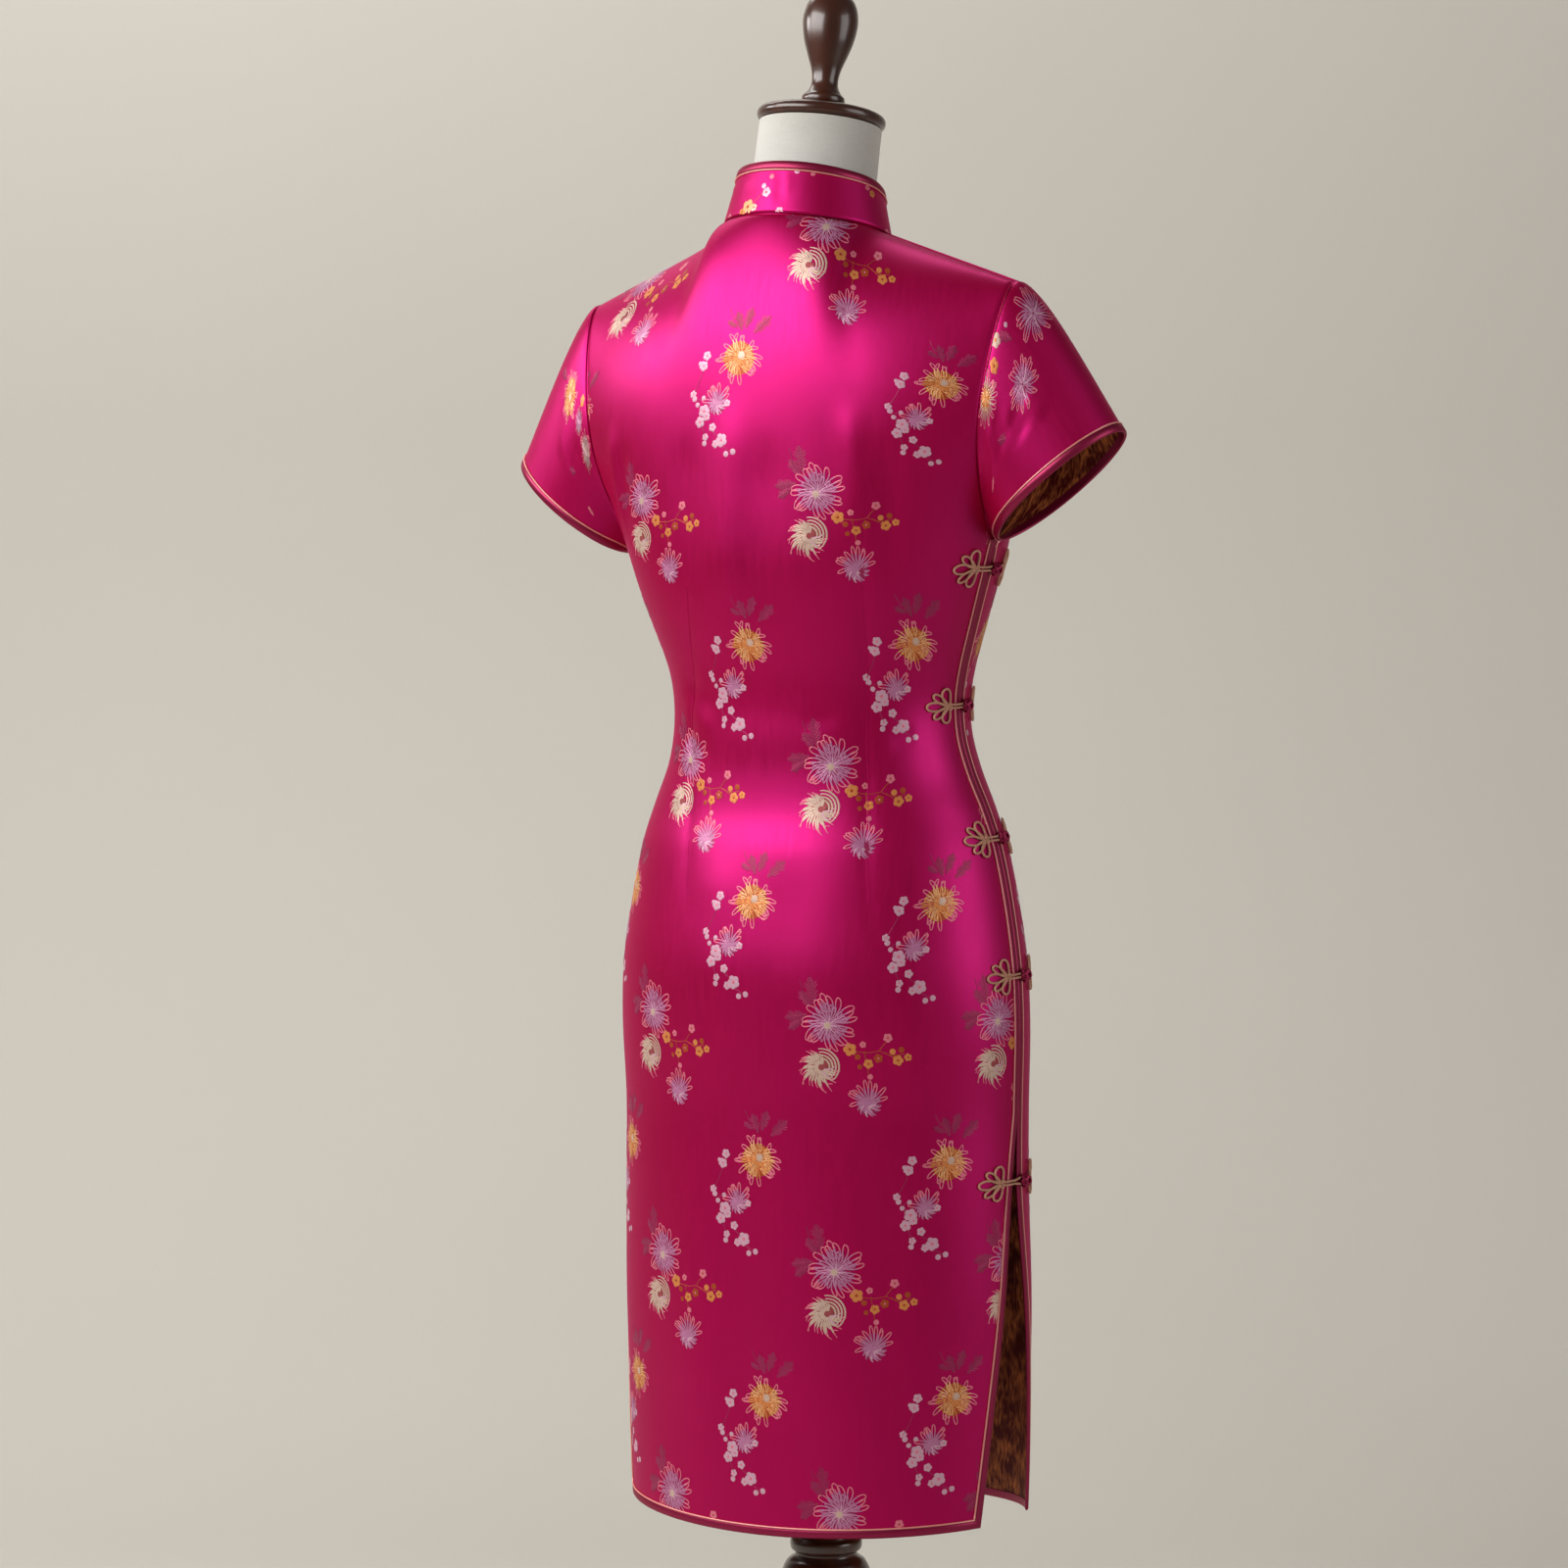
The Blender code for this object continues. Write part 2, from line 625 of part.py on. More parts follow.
def sleeve_grid(hand):
    """Rings from the armhole to the sleeve hem, each with the armhole's number of points."""
    loop = armhole_loop(hand)
    count = len(loop)
    middle = (SLEEVE_OUT + SLEEVE_IN) / 2.0
    along = (SLEEVE_OUT - SLEEVE_IN) / 2.0
    hem = []
    for i in range(count):
        turn = 2.0 * math.pi * i / count
        point = middle - along * math.cos(turn) + Vector((0, SLEEVE_HALF_DEPTH, 0)) * math.sin(turn)
        hem.append(lean((point.x * hand, point.y, point.z)))
    start, end = np.array(loop), np.array(hem)
    axis = end - start
    length = np.linalg.norm(axis, axis=1, keepdims=True)
    start = start + axis / length * EDGE_CLEAR
    to_binding = (length - BINDING_WIDTH) / length
    shares = [np.minimum(np.full_like(length, first), to_binding * inner)
              for first, inner in SLEEVE_RINGS]
    cap = (1.0 - np.cos(2.0 * np.pi * np.arange(count) / count)) / 2.0
    rings = []
    for at in shares + [to_binding, np.ones_like(length)]:
        ring = start + (end - start) * at
        swell = np.sin(np.pi * np.sqrt(at[:, 0])) * cap
        ring[:, 0] += hand * swell * SLEEVE_BULGE[0]
        ring[:, 2] += swell * SLEEVE_BULGE[1]
        rings.append(ring)
    return np.array(rings)


def make_sleeves(group):
    for hand, name in ((1, "left"), (-1, "right")):
        grid = sleeve_grid(hand)
        centre = grid.mean(axis=1, keepdims=True)
        unit = normals(grid, lambda g, c=centre: g - c, wrap=True)
        plate("sleeve_" + name, grid, unit, all_cells(grid, True), -WALL, 0.0, "satin",
              group, wrap=True)
        cells = [(grid.shape[0] - 2, c) for c in range(grid.shape[1])]
        plate("sleeve_binding_" + name, grid, unit, cells, SEAM, SEAM + BINDING_THICK,
              "satin_dark", group, wrap=True)


def collar_grid():
    """Rows from the neck seam to the collar's top edge; columns from the front right round."""
    rows = []
    for lift in (0.0, 0.5, None, 1.0):
        row = []
        for i in range(COLLAR_STEPS + 1):
            around = -COLLAR_END + 2.0 * COLLAR_END * i / COLLAR_STEPS
            low = np.array(lean(neck_ring(around))) + np.array((0, 0, EDGE_CLEAR))
            high = np.array(lean(collar_top_ring(around)))
            corner = ramp(abs(around), COLLAR_END - COLLAR_ROUNDING, COLLAR_END)
            high = low + (high - low) * (1.0 - COLLAR_ROUND_DROP * corner**2)
            bound = BINDING_WIDTH * COLLAR_BIND_SHARE / np.linalg.norm(high - low)
            row.append(low + (high - low) * (1.0 - bound if lift is None else lift))
        rows.append(row)
    return np.array(rows)


def make_collar(group):
    grid = collar_grid()
    unit = normals(grid, away_from_axis((0.0, NECK_Y, 0.0)))
    plate("collar", grid, unit, all_cells(grid), -COLLAR_WALL, 0.0, "satin", group)
    cells = [(grid.shape[0] - 2, c) for c in range(grid.shape[1] - 1)]
    plate("collar_binding", grid, unit, cells, SEAM, SEAM + BINDING_THICK, "satin_dark", group)


def lobe_reach(angle):
    """How far the frog's outline lies from its junction in a direction, in degrees."""
    reach = FROG_CORE
    for lobe in LOBES:
        values = dict(zip(LOBE_COLUMNS, lobe))
        offset = (angle - values["angle"]) / values["spread"]
        reach = max(reach, values["reach"] * math.exp(-0.5 * abs(offset)**3))
    return reach


def frog_outline():
    """The outline of one frog half and its holes, junction at 0, stem towards -X."""
    angles = []
    for lobe in LOBES:
        values = dict(zip(LOBE_COLUMNS, lobe))
        marks = LOBE_POINTS if values["hole_at"] else PETAL_POINTS
        angles += [values["angle"] + values["spread"] * mark for mark in marks]
    points = []
    for angle in sorted(angles):
        turn = math.radians(angle)
        points.append((lobe_reach(angle) * math.cos(turn), lobe_reach(angle) * math.sin(turn)))
    stem = FROG_JUNCTION - FROG_STEM_GAP
    points += [(-FROG_CORE, STEM_HALF), (-stem, STEM_HALF), (-stem, -STEM_HALF),
               (-FROG_CORE, -STEM_HALF)]
    holes = []
    for lobe in LOBES:
        values = dict(zip(LOBE_COLUMNS, lobe))
        if values["hole_at"]:
            holes.append(hole_outline(values))
    return points, holes


def hole_outline(values):
    turn = math.radians(values["angle"])
    ring = []
    for i in range(HOLE_POINTS):
        step = 2.0 * math.pi * i / HOLE_POINTS
        out = values["hole_at"] + values["hole_long"] * math.cos(step)
        aside = values["hole_wide"] * math.sin(step)
        ring.append((out * math.cos(turn) - aside * math.sin(turn),
                     out * math.sin(turn) + aside * math.cos(turn)))
    return ring


def flat_frog():
    """One frog half as a flat sheet of points and triangles, filled from its outline."""
    points, holes = frog_outline()
    curve = bpy.data.curves.new("frog_outline", "CURVE")
    curve.dimensions = "2D"
    curve.fill_mode = "BOTH"
    for ring in [points] + holes:
        spline = curve.splines.new("POLY")
        spline.points.add(len(ring) - 1)
        for slot, (x, y) in zip(spline.points, ring):
            slot.co = (x, y, 0.0, 1.0)
        spline.use_cyclic_u = True
    holder = bpy.data.objects.new("frog_outline", curve)
    bpy.context.scene.collection.objects.link(holder)
    view = bpy.context.evaluated_depsgraph_get()
    mesh = bpy.data.meshes.new_from_object(holder.evaluated_get(view))
    bpy.data.objects.remove(holder, do_unlink=True)
    work = bmesh.new()
    work.from_mesh(mesh)
    bpy.data.meshes.remove(mesh)
    bmesh.ops.remove_doubles(work, verts=work.verts, dist=MERGE)
    bmesh.ops.triangulate(work, faces=work.faces)
    bmesh.ops.beautify_fill(work, faces=work.faces, edges=work.edges)
    for p in FROG_FOLDS:
        every = work.verts[:] + work.edges[:] + work.faces[:]
        bmesh.ops.bisect_plane(work, geom=every, plane_co=(p, 0, 0), plane_no=(1, 0, 0),
                               dist=MERGE)
    bmesh.ops.triangulate(work, faces=work.faces)
    bmesh.ops.beautify_fill(work, faces=work.faces, edges=work.edges)
    work.verts.index_update()
    flat = [(v.co.x, v.co.y) for v in work.verts]
    faces = [[v.index for v in face.verts] for face in work.faces]
    rim = [[loop.vert.index, loop.link_loop_next.vert.index]
           for edge in work.edges if edge.is_boundary for loop in edge.link_loops]
    work.free()
    return flat, faces, rim


def surface_frame(where, outward, u, v, step=0.0005):
    """Point and outward normal of a surface given as a function of two lengths."""
    here = np.array(where(u, v))
    du = np.array(where(u + step, v)) - here
    dv = np.array(where(u, v + step)) - here
    unit = np.cross(du, dv)
    unit /= np.linalg.norm(unit)
    return here, unit if unit @ outward(here) > 0 else -unit


def ring_of(radius, count=8):
    steps = [2.0 * math.pi * i / count for i in range(count)]
    return [(radius * math.cos(step), radius * math.sin(step)) for step in steps]


def cloth_tree(group):
    """All cloth made so far, for finding how far it stands out under a frog."""
    work = bmesh.new()
    for item in group.objects:
        work.from_mesh(item.data)
    tree = BVHTree.FromBMesh(work)
    work.free()
    return tree


def cloth_height(cloth, where, outward, u, v):
    """How far the cloth stands out from a surface point, along the normal."""
    here, unit = surface_frame(where, outward, u, v)
    start = Vector(here + unit * RAY_REACH)
    hit = cloth.ray_cast(start, Vector(-unit), 2.0 * RAY_REACH)
    return RAY_REACH - hit[3] if hit[0] else -RAY_REACH


def laid_frog(name, sheet, cloth, where, outward, start, turn, group):
    """Lay a frog half on the cloth: start is its junction, turn its direction."""
    flat, faces, rim = sheet
    work = bmesh.new()
    low, high = [], []
    for p, h in flat:
        u = start[0] + p * math.cos(turn) - h * math.sin(turn)
        v = start[1] + p * math.sin(turn) + h * math.cos(turn)
        here, unit = surface_frame(where, outward, u, v)
        lift = FROG_GAP + max(cloth_height(cloth, where, outward, u + a, v + b)
                              for a, b in [(0.0, 0.0)] + ring_of(FROG_SPAN))
        low.append(work.verts.new(here + unit * lift))
        high.append(work.verts.new(here + unit * (lift + FROG_THICK)))
    for face in faces:
        work.faces.new([high[i] for i in face])
        work.faces.new([low[i] for i in reversed(face)])
    for a, b in rim:
        work.faces.new((high[b], high[a], low[a], low[b]))
    return add_object(name, mesh_from_bmesh(name, work), "gold_cord", group)


def knot(name, cloth, where, outward, at, group):
    """A flattened ball knot that rests on the cloth around a surface point."""
    here, unit = surface_frame(where, outward, *at)
    lift = 0.0
    for share in KNOT_RADII:
        for a, b in ring_of(share * KNOT_RADIUS):
            under = cloth_height(cloth, where, outward, at[0] + a, at[1] + b)
            lift = max(lift, under + FROG_GAP + KNOT_HEIGHT * math.sqrt(1.0 - share**2))
    work = bmesh.new()
    bmesh.ops.create_uvsphere(work, u_segments=KNOT_SIDES, v_segments=KNOT_RINGS, radius=1.0)
    size = Matrix.Diagonal((KNOT_RADIUS, KNOT_RADIUS, KNOT_HEIGHT, 1.0))
    turn = Vector(unit).to_track_quat("Z", "Y").to_matrix().to_4x4()
    centre = Vector(here + unit * lift)
    bmesh.ops.transform(work, matrix=Matrix.Translation(centre) @ turn @ size, verts=work.verts)
    made = add_object(name, mesh_from_bmesh(name, work), "satin", group)
    made.data.shade_smooth()
    return made


def side_surface(z_frog):
    """The right side near the opening, as lengths from the seam (+ to the back) and up."""
    def where(u, v):
        z = z_frog + v
        side = 1 if u > 0 else -1
        sizes = section(z)
        depth = sizes["back"] if side > 0 else sizes["front"]
        edge = slit_angle(BACK_SLIT, z) if side > 0 else 90.0
        return body_point(side, -(edge - math.degrees(abs(u) / depth)), z)
    return where


def chest_surface(u, v):
    """The front above the underarm, as a function of the place seen from the front."""
    _, z_top = top_line(-1, u)
    t = min(max((v - UNDERARM_Z) / (z_top - UNDERARM_Z), 0.0), 1.0)
    angle = math.degrees(math.asin(min(max(u / armhole_x(t), -1.0), 1.0)))
    return upper_point(-1, angle, t)


def collar_surface(u, v):
    """The collar's front, as lengths round from the front middle and up from the seam."""
    around = 180.0 - math.degrees(u / COLLAR_FRONT_RADIUS)
    low = np.array(neck_ring(around))
    high = np.array(collar_top_ring(around))
    return tuple(low + (high - low) * v / np.linalg.norm(high - low))


def closure(label, sheet, cloth, where, outward, spots, turns, group):
    """One frog: its loop half, its base half and the ball knot between them."""
    kind, number = label
    for part, spot, turn in zip(("loop", "base"), spots, turns):
        laid_frog(f"{kind}_{part}{number}", sheet, cloth, where, outward, spot, turn, group)
    knot(f"{kind}_knot{number}", cloth, where, outward, spots[2], group)


def make_frogs(group):
    sheet = flat_frog()
    cloth = cloth_tree(group)
    from_axis = (lambda p: p * np.array((1.0, 1.0, 0.0)))
    to_front = (lambda p: np.array((0.0, -1.0, 0.0)))
    past_knot = FROG_JUNCTION + 2.0 * KNOT_OFFSET
    for number, z in enumerate(SIDE_FROG_Z, 1):
        spots = [(FROG_JUNCTION, 0.0), (-past_knot, 0.0), (-KNOT_OFFSET, 0.0)]
        closure(("side_frog", f"_{number}"), sheet, cloth, side_surface(z), from_axis, spots,
                (0.0, math.pi), group)
    for number, t in enumerate(LAPEL_FROG_T, 1):
        x, _, z = upper_point(-1, -90.0 * (1.0 - t)**LAPEL_POWER, t)
        before = t - LAPEL_STEP_T
        near, _, near_z = upper_point(-1, -90.0 * (1.0 - before)**LAPEL_POWER, before)
        turn = LAPEL_FROG_TURN * (math.atan2(z - near_z, x - near) - math.pi / 2.0)
        spots = [(x + math.cos(turn) * reach, z + math.sin(turn) * reach)
                 for reach in (FROG_JUNCTION, -past_knot, -KNOT_OFFSET)]
        closure(("lapel_frog", f"_{number}"), sheet, cloth, chest_surface, to_front, spots,
                (turn, turn + math.pi), group)
    reach = FROG_JUNCTION + KNOT_OFFSET
    spots = [(reach, COLLAR_FROG_UP), (-reach, COLLAR_FROG_UP), (0.0, COLLAR_FROG_UP)]
    closure(("collar_frog", ""), sheet, cloth, collar_surface, to_front, spots, (0.0, math.pi),
            group)


def form_ring(t=None, z=None):
    """One closed ring of the torso: the back, the left side, the front and the right side."""
    angles = [-90.0 + 180.0 * i / FORM_STEPS for i in range(FORM_STEPS + 1)]
    if z is not None:
        back = [body_point(1, a, z, FORM_INSET) for a in angles]
        front = [body_point(-1, a, z, FORM_INSET) for a in reversed(angles)]
    else:
        half = form_half_angles(t)
        angles = [-a for a in reversed(half)] + half[1:]
        back = [upper_point(1, a, t, FORM_INSET, FORM_SHOULDER_DROP) for a in angles]
        front = [upper_point(-1, a, t, FORM_INSET, FORM_SHOULDER_DROP) for a in reversed(angles)]
    left = [np.array(back[-1]) * (1 - s) + np.array(front[0]) * s for s in (1 / 3, 2 / 3)]
    right = [np.array(front[-1]) * (1 - s) + np.array(back[0]) * s for s in (1 / 3, 2 / 3)]
    return [Vector(p) for p in back + left + front + right]


def form_half_angles(t):
    """The torso's columns from the middle to the armhole, fitted to its neck at the top."""
    half = FORM_STEPS // 2
    even = [90.0 * i / half for i in range(half + 1)]
    tip = TIP_X - FORM_INSET
    width = NECK_X - FORM_INSET
    corner = math.degrees(math.asin(width / tip))
    on_neck = half // 2
    fitted = [math.degrees(math.asin(width * math.sin(math.pi / 2 * i / on_neck) / tip))
              for i in range(on_neck + 1)]
    fitted += [corner + (90.0 - corner) * i / (half - on_neck)
               for i in range(1, half - on_neck + 1)]
    blend = ramp(t, TOP_FIT_T, 1.0)
    return [a + (b - a) * blend for a, b in zip(even, fitted)]


def neck_foot(point):
    """A point of the torso's neck opening, drawn in towards the neck's middle."""
    return Vector((point.x * FORM_NECK_IN, NECK_Y + (point.y - NECK_Y) * FORM_NECK_IN, point.z))


def neck_top_point(point):
    """The point of the neck's round, tilted top edge in the direction of a foot point."""
    around = math.atan2(point.x, point.y - NECK_Y)
    flat = Vector((math.sin(around), math.cos(around), 0.0)) * NECK_TOP_RADIUS
    return NECK_TOP + Matrix.Rotation(NECK_LEAN, 3, "X") @ flat


def make_form(group):
    """Torso and neck: body rings, upper rings that close along the shoulders, neck rings."""
    rings = [form_ring(z=z) for z in FORM_ROWS]
    rings += [form_ring(t=t) for t in arm_rows(FORM_ARM_ROWS)[1:]]
    work = bmesh.new()
    loops = [[work.verts.new(p) for p in ring] for ring in rings]
    count = len(loops[0])
    for low, high in zip(loops, loops[1:]):
        for i in range(count):
            j = (i + 1) % count
            work.faces.new((low[i], low[j], high[j], high[i]))
    work.faces.new(list(reversed(loops[0])))
    half = FORM_STEPS // 2
    on_neck = half // 2
    back_neck = loops[-1][half - on_neck: half + on_neck + 1]
    front_start = FORM_STEPS + 3 + half - on_neck
    front_neck = loops[-1][front_start: front_start + 2 * on_neck + 1]
    below = back_neck + front_neck[1:-1]
    foot = [neck_foot(v.co) for v in below]
    neck_rings = [[point + Vector((0, 0, FORM_NECK_STEP)) for point in foot]]
    for share in FORM_NECK_RINGS:
        neck_rings.append([point.lerp(neck_top_point(point), share) for point in foot])
    for ring in neck_rings:
        above = [work.verts.new(p) for p in ring]
        for i in range(len(below)):
            j = (i + 1) % len(below)
            work.faces.new((below[i], below[j], above[j], above[i]))
        below = above
    work.faces.new(below)
    bmesh.ops.remove_doubles(work, verts=work.verts, dist=MERGE)
    bmesh.ops.dissolve_degenerate(work, edges=work.edges, dist=MERGE)
    bmesh.ops.triangulate(work, faces=[f for f in work.faces if len(f.verts) > 4])
    add_object("dress_form", mesh_from_bmesh("dress_form", work), "form_cloth", group)


def turned(name, profile, material, group, steps):
    """A closed turned solid from (radius, height) rows, made with a Screw modifier."""
    mesh = bpy.data.meshes.new(name)
    rows = [(0.0, profile[-1][1])] + list(reversed(profile)) + [(0.0, profile[0][1])]
    mesh.from_pydata([(r, 0.0, z) for r, z in rows], [(i, i + 1) for i in range(len(rows) - 1)], [])
    made = add_object(name, mesh, material, group)
    screw = made.modifiers.new("turn", "SCREW")
    screw.axis = "Z"
    screw.steps = steps
    screw.render_steps = steps
    screw.use_merge_vertices = True
    screw.merge_threshold = MERGE
    screw.use_smooth_shade = True
    return made


def make_stand(group):
    turned("stand_base", BASE_PROFILE, "dark_wood", group, BASE_SIDES)
    turned("stand_post", POST_PROFILE, "dark_wood", group, POST_SIDES)
    cap = turned("neck_cap", CAP_PROFILE, "dark_wood", group, CAP_SIDES)
    knob = turned("finial", FINIAL_PROFILE, "dark_wood", group, FINIAL_SIDES)
    tilt = Matrix.Rotation(NECK_LEAN, 4, "X")
    up = tilt @ Vector((0, 0, 1))
    cap.matrix_world = Matrix.Translation(NECK_TOP + up * SEAM) @ tilt
    above_cap = CAP_PROFILE[-1][1] + 2.0 * SEAM
    knob.matrix_world = Matrix.Translation(NECK_TOP + up * above_cap) @ tilt


def main():
    clear_scene()
    group = collection("cheongsam_on_dress_form")
    make_panels(group)
    make_underlap(group)
    make_sleeves(group)
    make_collar(group)
    make_frogs(group)
    make_form(group)
    make_stand(group)


main()
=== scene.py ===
"""Looks of a cheongsam on a limbless dress form: satin brocade, bindings, piping, cord frogs,
the covered form with its turned wood, and a plain studio.

Metres, +Z up, the wearer faces -Y and the wearer's left is +X. The named sizes repeat those
of the part's solids, so that every piece lies where its solid is.
"""
import math
import random

import bmesh
import bpy
import numpy as np
from mathutils import Matrix, Vector
from mathutils.bvhtree import BVHTree


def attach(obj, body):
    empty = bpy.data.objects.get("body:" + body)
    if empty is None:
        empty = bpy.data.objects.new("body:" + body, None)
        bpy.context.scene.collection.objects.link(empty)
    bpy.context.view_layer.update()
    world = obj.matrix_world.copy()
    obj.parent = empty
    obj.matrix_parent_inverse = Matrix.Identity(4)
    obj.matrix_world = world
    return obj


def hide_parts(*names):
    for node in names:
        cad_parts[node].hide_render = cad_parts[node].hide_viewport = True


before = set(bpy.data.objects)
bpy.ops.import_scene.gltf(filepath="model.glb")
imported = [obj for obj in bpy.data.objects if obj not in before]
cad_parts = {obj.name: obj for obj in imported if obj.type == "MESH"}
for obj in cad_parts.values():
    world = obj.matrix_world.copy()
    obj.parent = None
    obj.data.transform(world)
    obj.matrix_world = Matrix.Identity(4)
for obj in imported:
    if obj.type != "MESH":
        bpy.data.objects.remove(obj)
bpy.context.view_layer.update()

# Sizes of the solids
EDGE_CLEAR = 0.0004
HEM_Z = 0.361
HEM_SIDE_RISE = 0.008
UNDERARM_Z = 1.155
TIP_Z = 1.358
NECK_SIDE_Z = 1.405
NECK_BACK_RISE = 0.016
NECK_FRONT_DROP = 0.020
TIP_X = 0.191
TIP_Y = 0.036
NECK_X = 0.070
NECK_Y = 0.030
NECK_DEPTH = 0.062
ARMHOLE_BACK = 0.066
ARMHOLE_FRONT = 0.058
LEAN = 0.066
LEAN_START_X = 0.050
LEAN_START_Z = 1.02
BACK_SLIT = {"top": 0.70, "open": 20.0, "power": 0.93}
FRONT_SLIT = {"top": 0.64, "open": 20.0, "power": 1.3}
LAPEL_POWER = 1.36
UNDERLAP_REACH = 14.0
UNDERLAP_SHORTER = 0.55
UNDERLAP_DROP = 0.0038
UNDERLAP_EASE = 28.0
UNDERLAP_EASE_SHORTER = 9.0
UNDERLAP_EASE_FROM = 0.45
UNDERLAP_UP_FROM_T = 0.1
UNDERLAP_UP_TO_T = 0.3

SECTION_COLUMNS = ("z", "half_width", "back", "front", "middle")
SECTIONS = (
    (0.361, 0.1720, 0.121, 0.121, -0.0050),
    (0.440, 0.1745, 0.122, 0.122, -0.0040),
    (0.540, 0.1770, 0.124, 0.124, -0.0025),
    (0.640, 0.1755, 0.123, 0.123, 0.0000),
    (0.700, 0.1755, 0.123, 0.122, 0.0000),
    (0.766, 0.1775, 0.126, 0.122, 0.0015),
    (0.815, 0.1755, 0.127, 0.119, 0.0015),
    (0.863, 0.1685, 0.123, 0.113, 0.0005),
    (0.911, 0.1585, 0.115, 0.107, 0.0010),
    (0.943, 0.1475, 0.107, 0.103, 0.0015),
    (0.975, 0.1340, 0.102, 0.102, 0.0030),
    (1.003, 0.1270, 0.099, 0.100, 0.0060),
    (1.030, 0.1260, 0.097, 0.100, 0.0080),
    (1.055, 0.1300, 0.099, 0.103, 0.0090),
    (1.087, 0.1400, 0.105, 0.109, 0.0115),
    (1.119, 0.1505, 0.110, 0.117, 0.0140),
    (1.155, 0.1615, 0.113, 0.122, 0.0160),
    (1.190, 0.1700, 0.113, 0.119, 0.0140),
)
SQUARENESS = 2.15
SQUARE_FROM_Z = 0.95
ROLL_COLUMNS = ("x", "back_power", "back_root", "front_power", "front_root")
ROLL = (
    (0.0, 3.5, 0.95, 1.6, 1.00),
    (NECK_X, 4.0, 0.52, 2.0, 0.72),
    (TIP_X, 2.3, 0.50, 2.3, 0.50),
)
ARMHOLE_CURVE = 0.75
SCOOP_END = 0.6
SCOOP_POWER = 0.8
EDGE_LIMIT = 0.95
NECK_STEPS = 5
SHOULDER_STEPS = 5
TOP_FIT_T = 0.25

SLEEVE_OUT = np.array((0.2735, 0.015, 1.2345))
SLEEVE_IN = np.array((0.1740, 0.024, 1.1540))
SLEEVE_HALF_DEPTH = 0.045
SLEEVE_BULGE = (0.0056, 0.0035)

COLLAR_TOP_X = 0.059
COLLAR_TOP_Y = 0.0256
COLLAR_TOP_DEPTH = 0.054
COLLAR_TOP_FRONT = 0.060
COLLAR_SIDE_RISE = 0.0415
COLLAR_END = 178.6
COLLAR_ROUNDING = 22.0
COLLAR_ROUND_DROP = 0.30
COLLAR_FRONT_RADIUS = 0.058
COLLAR_WALL = 0.0018

SIDE_FROG_Z = (1.133, 1.028, 0.921, 0.812, 0.646)
LAPEL_FROG_T = (0.48, 0.70)
LAPEL_FROG_TURN = 0.5
LAPEL_STEP_T = 0.02
COLLAR_FROG_UP = 0.0175
FROG_JUNCTION = 0.0152
KNOT_OFFSET = 0.0050

FORM_INSET = 0.0125
FORM_SHOULDER_DROP = 0.0017
FORM_BOTTOM = 0.720
FORM_NECK_IN = 0.90
NECK_LEAN = math.radians(11.0)
NECK_TOP = Vector((0.0, 0.0090, 1.492))
NECK_TOP_RADIUS = 0.0495
SEAM = 0.0003

CAP_PROFILE = (
    (0.0475, 0.0), (0.0510, 0.0020), (0.0522, 0.0055), (0.0510, 0.0090), (0.0465, 0.0112),
    (0.0330, 0.0128), (0.0240, 0.0150), (0.0225, 0.0165),
)
FINIAL_PROFILE = (
    (0.0150, 0.0), (0.0172, 0.0022), (0.0172, 0.0062), (0.0145, 0.0092), (0.0112, 0.0150),
    (0.0108, 0.0220), (0.0124, 0.0300), (0.0160, 0.0400), (0.0200, 0.0520), (0.0222, 0.0640),
    (0.0222, 0.0730), (0.0195, 0.0830), (0.0140, 0.0900), (0.0070, 0.0935),
)
POST_PROFILE = (
    (0.0235, 0.0305), (0.0300, 0.0340), (0.0310, 0.0420), (0.0250, 0.0500), (0.0215, 0.0620),
    (0.0225, 0.0900), (0.0290, 0.1300), (0.0360, 0.1800), (0.0405, 0.2300), (0.0408, 0.2700),
    (0.0385, 0.3020), (0.0330, 0.3180), (0.0262, 0.3235), (0.0262, 0.3270), (0.0288, 0.3290),
    (0.0296, 0.3330), (0.0288, 0.3370), (0.0240, 0.3400), (0.0215, 0.3600), (0.0200, 0.4600),
    (0.0200, 0.6700), (0.0220, 0.6960), (0.0420, 0.7020), (0.0450, 0.7100), (0.0450, 0.7194),
)
BASE_PROFILE = (
    (0.1830, 0.0), (0.1890, 0.0030), (0.1900, 0.0090), (0.1860, 0.0160), (0.1740, 0.0200),
    (0.1500, 0.0215), (0.0900, 0.0245), (0.0560, 0.0275), (0.0480, 0.0300),
)

# How finely the cloth is drawn
BODY_STEP = 0.0055
ARM_ROWS = 52
SIDE_COLUMNS = 52
EDGE_SHARES = (0.966, 0.976, 0.984, 0.990, 0.995, 1.0)


# Form of the garment

def ramp(value, start, end):
    """0 before start, 1 after end, smooth between."""
    part = np.clip((value - start) / (end - start), 0.0, 1.0)
    return part * part * (3.0 - 2.0 * part)


def section(z):
    """The body section at a height, read smoothly from the table by its column names."""
    last = len(SECTIONS) - 1
    z = min(max(z, HEM_Z), UNDERARM_Z)
    at = max(i for i in range(last - 1) if SECTIONS[i][0] <= z)
    low, high = SECTIONS[at], SECTIONS[at + 1]
    before, after = SECTIONS[max(at - 1, 0)], SECTIONS[min(at + 2, last)]
    span = high[0] - low[0]
    part = (z - low[0]) / span
    values = {"z": z}
    for column in range(1, len(SECTION_COLUMNS)):
        slope_low = (high[column] - before[column]) / (high[0] - before[0]) * span
        slope_high = (after[column] - low[column]) / (after[0] - low[0]) * span
        values[SECTION_COLUMNS[column]] = (
            low[column] * (2 * part**3 - 3 * part**2 + 1)
            + slope_low * (part**3 - 2 * part**2 + part)
            + high[column] * (3 * part**2 - 2 * part**3)
            + slope_high * (part**3 - part**2)
        )
    return values


